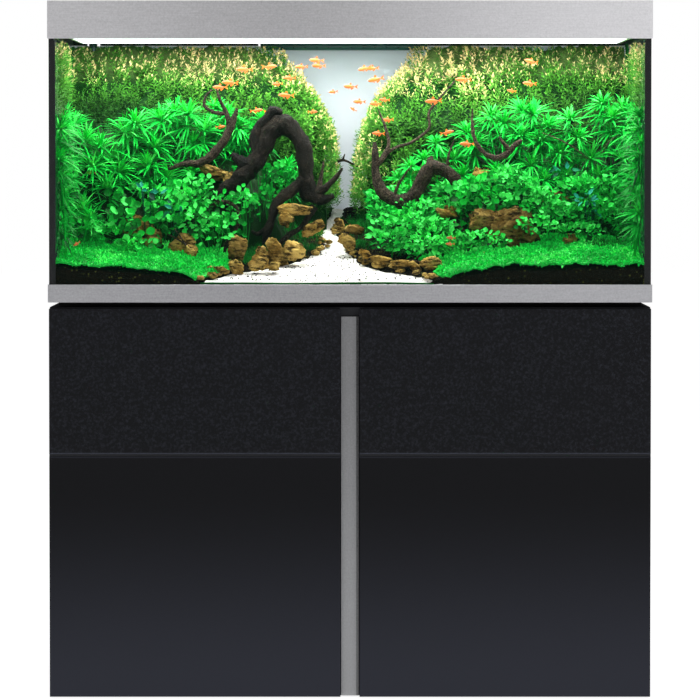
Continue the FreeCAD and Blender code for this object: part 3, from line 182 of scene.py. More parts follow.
def addPiece(name, patches, paint, replaces=()):
    # joins the patches into one mesh; each has its own square of the bake map
    total = sum(p["points"].shape[0] for p in patches)
    side = math.ceil(math.sqrt(total))
    spots, faces, uvs, tints, alongs = [], [], [], [], []
    first = cell = 0
    for patch in patches:
        count, rows, columns, _ = patch["points"].shape
        spots.append(patch["points"].reshape(-1, 3))
        tints.append(patch["tint"].reshape(-1))
        alongs.append(patch["along"].reshape(-1))
        steps = columns if patch["wrap"] else columns - 1
        i, j = np.meshgrid(np.arange(rows - 1), np.arange(steps), indexing="ij")
        i, j = i.ravel(), j.ravel()
        right = (j + 1) % columns
        near, far = i * columns, (i + 1) * columns
        quad = np.stack([near + j, near + right, far + right, far + j], 1)
        starts = first + np.arange(count) * rows * columns
        faces.append((starts[:, None, None] + quad[None]).reshape(-1, 4))
        u = np.stack([j, j + 1, j + 1, j], 1) / steps * 0.86 + 0.07
        v = np.stack([i, i, i + 1, i + 1], 1) / (rows - 1) * 0.86 + 0.07
        cells = cell + np.arange(count)
        u = ((cells % side)[:, None, None] + u[None]) / side
        v = ((cells // side)[:, None, None] + v[None]) / side
        uvs.append(np.stack([u, v], -1).reshape(-1, 2))
        first += count * rows * columns
        cell += count
    mesh = bpy.data.meshes.new(name)
    mesh.from_pydata(np.concatenate(spots), [], np.concatenate(faces))
    mesh.polygons.foreach_set("use_smooth", np.full(len(mesh.polygons), True))
    mesh.uv_layers.new(name="OFBake").data.foreach_set("uv", np.concatenate(uvs).ravel().astype(np.float32))
    for label, values in (("tint", tints), ("along", alongs)):
        layer = mesh.attributes.new(label, "FLOAT", "POINT")
        layer.data.foreach_set("value", np.concatenate(values).astype(np.float32))
    mesh.materials.append(paint.material)
    mesh.update()
    made = bpy.data.objects.new(name, mesh)
    scene.collection.objects.link(made)
    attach(made, root)
    for node in replaces:
        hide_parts(node)
    print(name, sum(len(f) for f in faces) * 2, "triangles")
    return made


def unit(v):
    return v / np.maximum(np.linalg.norm(v, axis=-1, keepdims=True), 1e-9)


def sway(p, scale, seed):
    # smooth noise from -1 to 1: the mean of six sine waves that run in chosen directions
    source = np.random.default_rng(seed)
    total = 0
    for _ in range(6):
        way = source.normal(size=3)
        total = total + np.sin((p @ way) * scale + source.uniform(0, 6.3))
    return total / 3.2


# the room inside the glass that leaves stay within, and the height they stay below
room = {"halfWidth": 0.5462, "halfDepth": 0.2566, "surface": 1.2232}


def leafPatches(base, aim, up, length, width, bend, rows=4, columns=2, shape=None, fold=0.0,
                tint=0.0, along=None):
    # point(t, s) = base + aim L t - up bend L t^2 + side W shape(t) s + lift fold W s^2, s from -1 to 1
    t = np.linspace(0, 1, rows)[None, :, None, None]
    s = np.linspace(-1, 1, columns)[None, None, :, None]
    shape = (lambda v: np.sin(np.pi * v ** 0.75)) if shape is None else shape
    side = unit(np.cross(aim, up))
    lift = unit(np.cross(side, aim))
    spread = np.maximum(shape(t), 0.06)
    four = [np.asarray(v, float).reshape(-1, 1, 1, 1) if np.ndim(v) < 2 else v[:, None, None, :]
            for v in (base, aim, side, lift, up, length, width, bend)]
    b, a, w, n, u, size, wide, drop = four
    points = b + a * size * t - u * drop * size * t ** 2 + w * wide * spread * s + n * wide * fold * s ** 2
    points[..., 0] = np.clip(points[..., 0], -room["halfWidth"], room["halfWidth"])
    points[..., 1] = np.clip(points[..., 1], -room["halfDepth"], room["halfDepth"])
    points[..., 2] = np.minimum(points[..., 2], room["surface"])
    return grid(points, tint=tint, along=along)


def tubePatch(line, radius, sides=10, rough=0.0, seed=1, tint=0.0, steps=None):
    # a round tube along a smoothed line: ring(i) = line(i) + radius(i) (1 + rough noise) (cos a, sin a)
    line, radius = np.asarray(line, float), np.asarray(radius, float)
    reach = np.concatenate([[0], np.cumsum(np.linalg.norm(np.diff(line, axis=0), axis=1))])
    steps = steps or max(6, int(reach[-1] / 0.006))
    at = np.linspace(0, reach[-1], steps)
    path = np.stack([curve(at, reach, line[:, k]) for k in range(3)], 1)
    size = np.interp(at, reach, radius)
    aim = unit(np.gradient(path, axis=0))
    ahead = np.array([0.03, 1.0, 0.02])
    side = unit(np.cross(aim, ahead))
    deep = np.cross(side, aim)
    turn = np.linspace(0, 2 * np.pi, sides, endpoint=False)
    ring = side[:, None] * np.cos(turn)[None, :, None] + deep[:, None] * np.sin(turn)[None, :, None]
    points = path[:, None] + ring * size[:, None, None]
    if rough:
        wobble = sway(points, 95, seed) * 0.5 + sway(points * np.array([1, 1, 0.35]), 330, seed + 1) * 0.5
        points = path[:, None] + ring * (size[:, None] * (1 + rough * wobble))[..., None]
    ends = [np.repeat(path[:1, None], sides, 1), points, np.repeat(path[-1:, None], sides, 1)]
    return grid(np.concatenate(ends)[None, :, ::-1], wrap=True, tint=tint)


def curve(at, reach, values):
    # a smooth line through the given values (cubic Hermite with finite-difference slopes)
    slope = np.gradient(values, reach)
    i = np.clip(np.searchsorted(reach, at) - 1, 0, len(reach) - 2)
    gap = reach[i + 1] - reach[i]
    t = (at - reach[i]) / gap
    a, b, p, q = values[i], values[i + 1], slope[i] * gap, slope[i + 1] * gap
    near = a * (2 * t ** 3 - 3 * t ** 2 + 1) + p * (t ** 3 - 2 * t ** 2 + t)
    return near + b * (3 * t ** 2 - 2 * t ** 3) + q * (t ** 3 - t ** 2)


def flatSpot(x, y):
    # points at height nought, for noise that changes across the ground only
    return np.stack([x, y, x * 0], -1)


def ball(rows, sides):
    # points of a unit ball from pole to pole
    lat = np.linspace(0, np.pi, rows)[:, None]
    lon = np.linspace(0, 2 * np.pi, sides, endpoint=False)[None]
    across, deep = np.sin(lat) * np.cos(lon), np.sin(lat) * np.sin(lon)
    return np.stack(np.broadcast_arrays(across, deep, -np.cos(lat)), -1)


def scatter(low, high, count):
    return low + (high - low) * chance.random((count, len(low)))


bed = {"halfWidth": 0.5476, "halfDepth": 0.2576, "foot": 0.7578,
       "frontMid": 0.0175, "frontSide": 0.0415, "backMid": 0.1495, "backSide": 0.1755}
profileX = np.array([-1.0, -0.77, -0.6, -0.5, 0.0, 0.27, 0.5, 0.72, 1.0])
profileRise = np.array([1.0, 0.66, 0.42, 0.0, 0.0, 0.13, 0.77, 0.9, 1.0])
# the path's left and right edges at each depth
pathY = np.array([-0.27, -0.24, -0.19, -0.15, -0.11, -0.03, 0.02, 0.1, 0.18, 0.24, 0.27])
pathLeft = np.array([-0.288, -0.270, -0.21, -0.14, -0.094, -0.0485, -0.052, -0.057, -0.045, -0.0345, -0.03])
pathRight = np.array([0.162, 0.150, 0.075, 0.035, 0.012, -0.006, -0.0135, -0.029, -0.02, -0.012, -0.01])


def bedTop(x, y):
    # height of the bed: a profile across the width, rising in a straight line from front to back
    share = np.interp(x / 0.5482, profileX, profileRise)
    front = bed["frontMid"] + share * (bed["frontSide"] - bed["frontMid"])
    back = bed["backMid"] + share * (bed["backSide"] - bed["backMid"])
    return bed["foot"] + front + (back - front) * (y + 0.2582) / 0.5164


def onPath(x, y, grow=0.0):
    # how far inside the path's edges a point is, in metres
    return np.minimum(x - np.interp(y, pathY, pathLeft), np.interp(y, pathY, pathRight) - x) + grow


def brushed(name, colour, stretch, reflectionAcross=0.0, low=0.0):
    # metal with fine brushing along one axis and a painted reflection: a gradual change of tone across the
    # width
    p = Paint(name, Metallic=0.55, Roughness=0.42, Specular_IOR_Level=0.4)
    streak = p.noise(60.0, 4.0, 0.7, stretch)
    grain = p.noise(260.0, 3.0, 0.8)
    tone = (streak - 0.5) * 0.75 + (grain - 0.5) * 0.7 + 0.97
    across = p.axis("X")
    # painted reflection: the band and trim are lighter over the right part and at the far left
    slow = (across.between(-0.15, 0.5) * 0.44 + (1.0 - across.between(-0.56, -0.1)) * 0.17) * reflectionAcross
    # the narrow strip only, painted light and shade: lighter towards the floor, a painted highlight on the
    # left edge and painted shade on the right return
    lift = (1.0 - p.axis("Z").between(0.0, 0.7)) * 0.5 + (1.0 - across.between(-0.0165, -0.0145)) * 0.3
    slow = slow + (lift - across.between(0.0108, 0.0122) * 0.75) * low
    shade = p.node("ShaderNodeVectorMath", {"operation": "SCALE"}, {0: colour, 3: tone + slow})
    p.set(Base_Color=shade, Roughness=0.36 + streak * 0.14)
    p.bump(streak, 0.08, 0.0006)
    return p


# the thin groove between the two door sheets: its height, where the painted highlight along its edges
# starts and ends, and how bright that highlight is
doorGroove = {"height": 0.4526, "inner": 0.0032, "outer": 0.0058, "gleam": 2.8}


def lacquer(name, colour, flecks, rise):
    # near-black door sheet: fine pale flecks, or painted light: a gradual lightening towards the floor
    p = Paint(name, Roughness=0.5, Specular_IOR_Level=0.12)
    height = p.axis("Z")
    # painted light: the sheet is lighter towards the floor, by rise
    low = 1.0 - height.between(-0.02, 0.4)
    # painted highlight: a light line along the groove's edges, where they catch the light
    off = (height - doorGroove["height"]).math("ABSOLUTE")
    edge = (1.0 - off.between(doorGroove["inner"], doorGroove["outer"])) * doorGroove["gleam"]
    grain = p.noise(190.0, 3.0, 0.8)
    tone = 0.60 - 0.26 * flecks + grain.between(0.44, 0.72) * 1.15 * flecks + low * rise + edge
    shade = p.node("ShaderNodeVectorMath", {"operation": "SCALE"}, {0: colour, 3: tone})
    p.set(Base_Color=shade)
    p.bump(grain, 0.12 * flecks + 0.01, 0.0004)
    return p


def laminate(name, colour):
    p = Paint(name, Specular_IOR_Level=0.2)
    grain = p.noise(420.0, 3.0, 0.6)
    tone = (0.7 + grain * 0.6).blend(tuple(c * 0.7 for c in colour), colour)
    p.set(Base_Color=tone, Roughness=0.55 + grain * 0.1)
    p.bump(grain, 0.1, 0.0004)
    return p


def moulded(name, colour, rough=0.45, spec=0.35):
    p = Paint(name, Specular_IOR_Level=spec)
    grain = p.noise(650.0, 2.0, 0.5)
    p.set(Base_Color=colour, Roughness=rough + (grain - 0.5) * 0.14)
    p.bump(grain, 0.08, 0.0003)
    return p


def foliage(name, deep, fresh, tip, tipStart=0.6, glow=0.05):
    # leaves: deep to fresh green by each leaf's own tint, then towards the tip colour high on the shoot;
    # the emission is painted light, the leaves shine a little though they are no lamp
    p = Paint(name, Roughness=0.5, Specular_IOR_Level=0.06)
    tint = p.own("tint")
    vein = p.own("along")
    mottled = p.noise(160.0, 2.0, 0.5)
    green = (tint * 1.15 + (mottled - 0.5) * 0.25).clamp().blend(deep, fresh)
    colour = tint.between(tipStart, 1.0).blend(green, tip)
    colour = (vein.between(0.0, 0.4) * 0.35 + 0.65).blend(deep, colour)
    clump = p.noise(30.0, 3.0, 0.6)
    colour = (clump.between(0.56, 0.34) * 0.45).blend(colour, deep)
    # painted light: the leaves give off light of their own colour
    p.set(Base_Color=colour, Emission_Color=colour, Emission_Strength=glow)
    return p


def granules(name, dark, light, scale, specks, fleck):
    # loose grains: each cell has its own tone, with dark seams and a few specks of the fleck colour
    p = Paint(name, Roughness=0.9, Specular_IOR_Level=0.03)
    gap = p.cells(scale)
    tone = p.node("ShaderNodeSeparateColor", values={0: p.cells(scale, 1)})
    rare = p.node("ShaderNodeSeparateColor", values={0: p.cells(scale * 0.55, 1)})
    near = p.cells(scale * 0.55).between(0.5, 0.2)
    colour = (tone * 0.8 + (1.0 - gap) * 0.3).clamp().blend(dark, light)
    colour = (rare.math("GREATER_THAN", 1.0 - specks) * near).blend(colour, fleck)
    p.set(Base_Color=colour)
    p.bump(1.0 - gap, 0.7, 0.0016)
    return p


def rock(name, dark, mid, light):
    p = Paint(name, Roughness=0.9, Specular_IOR_Level=0.05)
    broad = p.noise(26.0, 5.0, 0.65)
    strata = p.noise(38.0, 6.0, 0.7, (1, 1, 3.2))
    fine = p.noise(190.0, 4.0, 0.6)
    colour = broad.between(0.36, 0.66).blend(mid, light)
    colour = (strata.between(0.54, 0.40) * 0.92).blend(colour, dark)
    colour = (fine.between(0.52, 0.72) * 0.35).blend(colour, light)
    colour = (p.own("tint") * 0.9).blend(colour, dark)
    p.set(Base_Color=colour)
    p.bump(strata * 0.8 + fine * 0.35 + broad * 0.4, 1.0, 0.010)
    return p


def bark(name, dark, light):
    p = Paint(name, Roughness=0.7, Specular_IOR_Level=0.1)
    ridge = p.noise(75.0, 7.0, 0.75, (1, 1, 0.6))
    fine = p.noise(300.0, 5.0, 0.7)
    tint = p.own("tint")
    pale = ridge.between(0.46, 0.68) * 0.42 * (0.4 + tint) + tint * 0.7 - 0.04
    colour = pale.clamp().blend(dark, light)
    colour = (fine.between(0.56, 0.44) * 0.8).blend(colour, dark)
    p.set(Base_Color=colour)
    p.bump(ridge + fine * 0.5, 1.0, 0.011)
    return p


# the last number of the band and trim is the strength of their painted reflection across the width
bandPaint = brushed("bandBrushed", (0.47, 0.465, 0.48), (0.5, 12, 40), 1.35)
trimPaint = brushed("trimBrushed", (0.355, 0.355, 0.372), (0.5, 12, 40), 0.6)
# the strip's last number turns on its painted light and shade
stripPaint = brushed("stripBrushed", (0.26, 0.262, 0.27), (40, 12, 0.5), 0.0, 1.0)
upperDoor = lacquer("doorFlecked", (0.0105, 0.0115, 0.0155), 1.0, 0.0)
# the lower sheets' last number is the strength of their painted light towards the floor
lowerDoor = lacquer("doorPlain", (0.0052, 0.0056, 0.0078), 0.1, 4.3)
boardPaint = laminate("laminateDark", (0.022, 0.023, 0.027))
blackPaint = moulded("plasticBlack", (0.012, 0.012, 0.013))
steelPaint = flat("steelPlated", (0.6, 0.6, 0.62), 0.28, 1.0)
glassPaint = flat("glassClear", (0.1, 0.3, 0.26), 0.05, 0.0, 0.02, Alpha=0.008)
sidePaint = flat("glassSide", (0.25, 0.5, 0.42), 0.0, Transmission_Weight=1.0, IOR=1.6)
siliconePaint = flat("siliconeBlack", (0.006, 0.006, 0.007), 0.35, 0.0, 0.3)
lampPaint = flat("lampAnodised", (0.66, 0.67, 0.69), 0.34, 1.0)
lensPaint = flat("lampOpal", (0.95, 0.97, 1.0), 0.3, Emission_Color=(0.93, 0.97, 1.0, 1.0),
                 Emission_Strength=2.4)
pipePaint = moulded("tubeGreen", (0.022, 0.085, 0.075), 0.25, 0.4)
heaterPaint = moulded("heaterTube", (0.035, 0.04, 0.04), 0.15, 0.5)
filterPaint = moulded("filterGrey", (0.055, 0.06, 0.065), 0.3, 0.4)
leverPaint = moulded("leverRed", (0.42, 0.035, 0.02), 0.35, 0.4)
cupPaint = moulded("cupRubber", (0.03, 0.034, 0.034), 0.5, 0.3)


def filmPaint():
    # frosted back sheet: pale blue-grey, darker and a little greener towards the surface; the emission is
    # painted light, the sheet shines though it is no lamp
    p = Paint("filmFrosted", Roughness=0.8, Specular_IOR_Level=0.1)
    high = p.axis("Z").between(1.05, 1.23)
    colour = high.blend((0.54, 0.58, 0.63), (0.36, 0.43, 0.45))
    # painted light: the sheet gives off light of its own colour
    return p.set(Base_Color=colour, Emission_Color=colour, Emission_Strength=0.35)


cadPaints = {
    "glass_left": sidePaint, "glass_right": sidePaint, "background_film": filmPaint(),
    "hood_band": bandPaint, "base_trim": trimPaint, "centre_strip": stripPaint,
    "door_left_upper_facing": upperDoor, "door_right_upper_facing": upperDoor,
    "door_left_lower_facing": lowerDoor, "door_right_lower_facing": lowerDoor,
    "silicone_seams": siliconePaint, "lamp_housing": lampPaint, "lamp_lenses": lensPaint,
    "intake_pipe": pipePaint, "spray_bar": pipePaint, "heater": heaterPaint, "suction_cups": cupPaint,
    "filter_canister": filterPaint, "filter_head": blackPaint, "filter_lever": leverPaint,
    "filter_latch_left": leverPaint, "filter_latch_right": leverPaint, "foam_mat": cupPaint,
    "floor_glides": blackPaint,
}
metalWords = "hinge_", "shelf_pins", "filter_pins", "lid_hinge", "door_left_hinge", "door_right_hinge"
for words, paint in ((("cabinet_", "door_"), boardPaint), (("glass_",), glassPaint),
                     (("hood_", "lid_", "riser", "base_tray", "lamp_"), blackPaint),
                     (metalWords, steelPaint)):
    for label in frame["nodes"]:
        if label.startswith(words) and (label not in cadPaints or paint is steelPaint):
            cadPaints[label] = paint
for label, thing in frame["nodes"].items():
    if label in cadPaints:
        thing.data.materials.clear()
        thing.data.materials.append(cadPaints[label].material)
print("CAD parts painted")


soilPaint = granules("soilGrains", (0.0012, 0.001, 0.0008), (0.012, 0.009, 0.005), 420.0, 0.12,
                     (0.09, 0.10, 0.02))
sandPaint = granules("sandGrains", (0.66, 0.64, 0.60), (0.90, 0.89, 0.87), 620.0, 0.05,
                     (0.06, 0.05, 0.035))
# the last number of each foliage paint is the strength of its painted light
mossPaint = foliage("mossDark", (0.003, 0.04, 0.005), (0.012, 0.28, 0.03), (0.05, 0.45, 0.06), 0.75, 0.06)


def skirted(x, y, z, foot=None, drop=0.002):
    # the grid with one more row and column on each side, straight down to the foot or by the drop
    pad = [(1, 1), (1, 1)]
    x, y = np.pad(x, pad, "edge"), np.pad(y, pad, "edge")
    z = np.pad(z, pad, "edge") - drop if foot is None else np.pad(z, pad, "constant", constant_values=foot)
    z[1:-1, 1:-1] += drop if foot is None else 0.0
    return np.stack([x, y, z], -1)[None]


def makeSoil():
    # height(x, y) = bed + coarse and fine noise, sunk under the path
    x, y = np.meshgrid(np.linspace(-bed["halfWidth"], bed["halfWidth"], 300),
                       np.linspace(-bed["halfDepth"], bed["halfDepth"], 140))
    spot = flatSpot(x, y)
    z = bedTop(x, y) + sway(spot, 90, 3) * 0.0025 + sway(spot, 600, 4) * 0.0012
    z = z - 0.007 * np.clip(onPath(x, y, 0.004) / 0.01, 0, 1)
    addPiece("soilBed", [grid(skirted(x, y, z, bed["foot"]))], soilPaint, replaces=["soil_bed"])


def makeSand():
    # point(v, s) = from the path's left edge to its right edge, height = bed + a low crown + noise
    v = np.linspace(-0.2579, 0.252, 170)
    left = np.interp(v, pathY, pathLeft) + np.sin(v * 70) * 0.003 + np.sin(v * 190) * 0.0015
    right = np.interp(v, pathY, pathRight) + np.cos(v * 60) * 0.003 + np.sin(v * 170) * 0.0015
    s = np.linspace(-0.04, 1.04, 70)
    x = left[:, None] + (right - left)[:, None] * s[None]
    y = np.repeat(v[:, None], len(s), 1)
    spot = flatSpot(x, y)
    edge = 4 * s * (1 - s)
    z = bedTop(x, y) - 0.005 + 0.004 * np.clip(edge, 0, 1)[None] ** 0.5 + sway(spot, 140, 8) * 0.0012
    z = z - 0.006 * np.clip((-0.2495 - y) / 0.007, 0, 1)
    addPiece("sandPath", [grid(skirted(x, y, z, bed["foot"]))], sandPaint, replaces=["sand_path"])


pebbles = {"edge": 110, "strays": 520, "small": 0.0022, "large": 0.0085}


def pebbleShapes(centre, size, seed, rows=6, sides=8):
    # each pebble is a squashed ball: radius (1 + noise), flattest from above
    core = ball(rows, sides)[None]
    stretch = scatter(np.array([0.8, 0.7, 0.5]), np.array([1.4, 1.1, 0.85]), len(centre))
    turn = chance.random(len(centre)) * 6.3
    lumpy = 1 + 0.2 * sway(core + centre[:, None, None] * 40, 2.6, seed)[..., None]
    shape = core * stretch[:, None, None] * size[:, None, None, None] * lumpy
    c, s = np.cos(turn)[:, None, None], np.sin(turn)[:, None, None]
    across, deep, tall = np.moveaxis(shape, -1, 0)
    return centre[:, None, None] + np.stack([across * c - deep * s, across * s + deep * c, tall], -1)


def makePebbles():
    count = pebbles["edge"]
    y = -0.252 + 0.42 * chance.random(count) ** 1.5
    onLeft = chance.random(count) < 0.5
    x = np.where(onLeft, np.interp(y, pathY, pathLeft), np.interp(y, pathY, pathRight))
    x = x + chance.normal(0, 0.005, count)
    size = pebbles["small"] + (pebbles["large"] - pebbles["small"]) * chance.random(count) ** 1.6
    centre = np.stack([x, y, bedTop(x, y) + size * 0.35], 1)
    rocks = grid(pebbleShapes(centre, size, 21), wrap=True, tint=chance.random(count) * 0.5)
    addPiece("pathPebbles", [rocks], rockPaint)
    x, y = scatter(np.array([-0.27, -0.252]), np.array([0.14, -0.06]), pebbles["strays"]).T
    inside = onPath(x, y) > 0.002
    x, y = x[inside], y[inside]
    size = 0.0007 + 0.0012 * chance.random(len(x))
    centre = np.stack([x, y, bedTop(x, y) - 0.0005], 1)
    addPiece("darkStrays", [grid(pebbleShapes(centre, size, 22, 4, 5), wrap=True)], soilPaint)
    # a thin film of growth where the sand meets the front glass
    line = np.full((60, 3), (0.0, -room["halfDepth"], 0.7712))
    line[:, 0] = np.linspace(-0.278, 0.156, len(line))
    line[:, 2] += 0.0006 * sway(line, 60, 23)
    film = tubePatch(line, np.full(len(line), 0.002), sides=6, tint=0.2)
    addPiece("glassLine", [film], mossPaint)


rockPaint = rock("rockOchre", (0.012, 0.008, 0.003), (0.26, 0.15, 0.026), (0.66, 0.46, 0.13))

# each stone: x, y, z of its middle, half sizes, turn in degrees, darkness
stones = [
    (-0.398, -0.10, 0.868, 0.030, 0.020, 0.024, 20, 0.0),
    (-0.372, -0.115, 0.852, 0.020, 0.018, 0.018, 70, 0.1),
    (-0.316, -0.13, 0.840, 0.020, 0.018, 0.024, 40, 0.05),
    (-0.300, -0.145, 0.826, 0.014, 0.014, 0.015, 10, 0.0),
    (-0.256, -0.04, 0.975, 0.030, 0.020, 0.012, 15, 0.3),
    (-0.225, -0.05, 0.958, 0.026, 0.02, 0.014, 60, 0.4),
    (-0.108, -0.09, 0.906, 0.036, 0.016, 0.011, 0, 0.05),
    (-0.122, -0.10, 0.888, 0.016, 0.014, 0.013, 35, 0.2),
    (-0.070, -0.085, 0.872, 0.024, 0.016, 0.011, -30, 0.15),
    (-0.212, -0.14, 0.832, 0.018, 0.016, 0.026, 12, 0.5),
    (-0.138, -0.145, 0.826, 0.030, 0.018, 0.018, 50, 0.25),
    (-0.105, -0.15, 0.828, 0.022, 0.016, 0.019, 15, 0.05),
    (-0.165, -0.155, 0.820, 0.022, 0.016, 0.014, 80, 0.3),
    (-0.256, -0.20, 0.794, 0.013, 0.011, 0.009, 5, 0.0),
    (-0.238, -0.205, 0.792, 0.010, 0.010, 0.008, 40, 0.0),
    (-0.212, -0.20, 0.799, 0.016, 0.012, 0.012, 70, 0.0),
    (-0.172, -0.195, 0.806, 0.017, 0.013, 0.015, 25, 0.05),
    (-0.143, -0.20, 0.802, 0.013, 0.010, 0.010, 0, 0.1),
    (0.248, -0.02, 0.960, 0.022, 0.016, 0.030, 8, 0.05),
    (0.262, -0.03, 0.946, 0.022, 0.016, 0.024, 30, 0.1),
    (0.183, -0.08, 0.902, 0.024, 0.016, 0.013, 10, 0.25),
    (0.296, -0.12, 0.868, 0.046, 0.026, 0.042, -24, 0.72),
    (0.258, -0.11, 0.885, 0.038, 0.024, 0.024, 10, 0.55),
    (0.330, -0.11, 0.872, 0.030, 0.022, 0.034, -38, 0.7),
    (0.396, -0.06, 0.924, 0.034, 0.020, 0.020, 5, 0.55),
    (0.372, -0.05, 0.934, 0.020, 0.016, 0.012, 30, 0.35),
    (0.252, -0.17, 0.816, 0.015, 0.013, 0.012, 12, 0.0),
    (0.150, -0.19, 0.806, 0.022, 0.015, 0.015, -10, 0.05),
    (0.122, -0.195, 0.798, 0.014, 0.012, 0.009, 60, 0.1),
    (0.092, -0.19, 0.806, 0.022, 0.013, 0.009, -5, 0.1),
    (0.058, -0.17, 0.812, 0.022, 0.012, 0.009, 8, 0.05),
    (0.028, -0.15, 0.824, 0.013, 0.010, 0.008, 30, 0.1),
    (-0.004, -0.09, 0.846, 0.020, 0.014, 0.012, 40, 0.2),
    (0.010, -0.06, 0.868, 0.018, 0.012, 0.010, 10, 0.35),
    (-0.018, -0.03, 0.876, 0.014, 0.010, 0.008, 70, 0.3),
    (0.415, -0.13, 0.842, 0.016, 0.012, 0.018, 0, 0.6),
]


def makeStones():
    # radius = 1 + noise of four sizes, less what stands out past seven planes, then stretched
    cut = ball(26, 36)
    cut = np.sign(cut) * np.abs(cut) ** 0.62     # squarer than a ball
    shapes, tints = [], []
    for k, (x, y, z, wide, deep, tall, turn, dark) in enumerate(stones):
        seed = 300 + 7 * k
        lumpy = 1 + 0.16 * sway(cut, 2.6, seed) - 0.16 * np.abs(sway(cut, 4.5, seed + 1))
        lumpy = lumpy - 0.1 * np.abs(sway(cut, 11.0, seed + 2)) + 0.05 * sway(cut, 24.0, seed + 3)
        # flat chips: the surface is held back to a few planes
        source = np.random.default_rng(seed)
        for way in unit(source.normal(size=(7, 3))):
            over = np.maximum(cut @ way - 0.86, 0)
            lumpy = lumpy - over * 0.55
        shape = cut * lumpy[..., None] * np.array([wide, deep, tall])
        a = math.radians(turn)
        across, up = shape[..., 0].copy(), shape[..., 2].copy()
        shape[..., 0] = across * math.cos(a) + up * math.sin(a)
        shape[..., 2] = up * math.cos(a) - across * math.sin(a)
        shapes.append(shape + np.array([x, y, z]))
        tints.append(dark)
    blocks = grid(np.stack(shapes), wrap=True, tint=np.array(tints))
    addPiece("stones", [blocks], rockPaint, replaces=["stones"])


makeSoil()
makeSand()
makeStones()
makePebbles()


# limbs: points with a radius at each, then how pale the wood is
leftWood = [
    ([(-.228, -.07, .88, .010), (-.240, -.066, .935, .015), (-.206, -.066, .968, .019),
      (-.172, -.066, 1.008, .020), (-.152, -.064, 1.052, .019), (-.134, -.062, 1.068, .021),
      (-.110, -.062, 1.056, .018), (-.088, -.064, 1.022, .0155), (-.084, -.066, .975, .015),
      (-.076, -.068, .934, .0155), (-.052, -.070, .926, .011), (-.030, -.072, .932, .004)], .12),
    ([(-.172, -.064, 1.012, .015), (-.176, -.060, 1.052, .012), (-.158, -.060, 1.078, .013),
      (-.144, -.06, 1.093, .011), (-.128, -.06, 1.090, .006)], .05),
    ([(-.196, -.064, .990, .014), (-.216, -.06, 1.004, .009), (-.226, -.06, 1.012, .004)], .05),
    ([(-.070, -.068, .936, .010), (-.046, -.072, .948, .007), (-.028, -.074, .966, .005),
      (-.014, -.076, .985, .002)], .3),
    ([(-.060, -.066, .940, .007), (-.056, -.060, .962, .005), (-.050, -.056, .998, .002)], .55),
    ([(-.088, -.070, .962, .012), (-.110, -.076, .942, .011), (-.138, -.082, .920, .010),
      (-.150, -.088, .886, .009), (-.158, -.092, .860, .009), (-.164, -.094, .826, .005)], .15),
    ([(-.160, -.09, .868, .007), (-.176, -.092, .860, .005), (-.186, -.094, .866, .003)], .1),
    ([(-.068, -.072, .912, .007), (-.094, -.084, .872, .0055), (-.116, -.092, .858, .006),
      (-.136, -.096, .838, .005), (-.150, -.096, .815, .003)], .22),
    ([(-.346, -.05, .982, .003), (-.318, -.052, .992, .0065), (-.288, -.054, .994, .008),
      (-.252, -.056, 1.018, .0095), (-.228, -.056, 1.060, .0085), (-.214, -.054, 1.098, .003)], .5),
    ([(-.228, -.055, 1.066, .006), (-.236, -.050, 1.092, .0045), (-.248, -.047, 1.116, .003),
      (-.254, -.046, 1.136, .0015)], .4),
    ([(-.234, -.050, 1.088, .0045), (-.262, -.046, 1.092, .0035), (-.277, -.044, 1.104, .0035),
      (-.274, -.043, 1.122, .0025), (-.262, -.043, 1.134, .0015)], .55),
    ([(-.296, -.088, .918, .003), (-.286, -.090, .908, .0045), (-.272, -.092, .908, .004),
      (-.244, -.094, .922, .004), (-.216, -.098, .912, .004), (-.210, -.100, .890, .004),
      (-.222, -.104, .858, .0035), (-.240, -.108, .838, .002)], .7),
    ([(-.224, -.104, .856, .003), (-.236, -.11, .832, .0035), (-.234, -.115, .806, .002)], .3),
    ([(-.345, -.14, .862, .001), (-.322, -.146, .850, .0018), (-.300, -.15, .836, .0018),
      (-.284, -.15, .826, .001)], .75),
    ([(-.330, -.145, .872, .001), (-.312, -.15, .845, .0016), (-.298, -.155, .812, .0012)], .75),
]
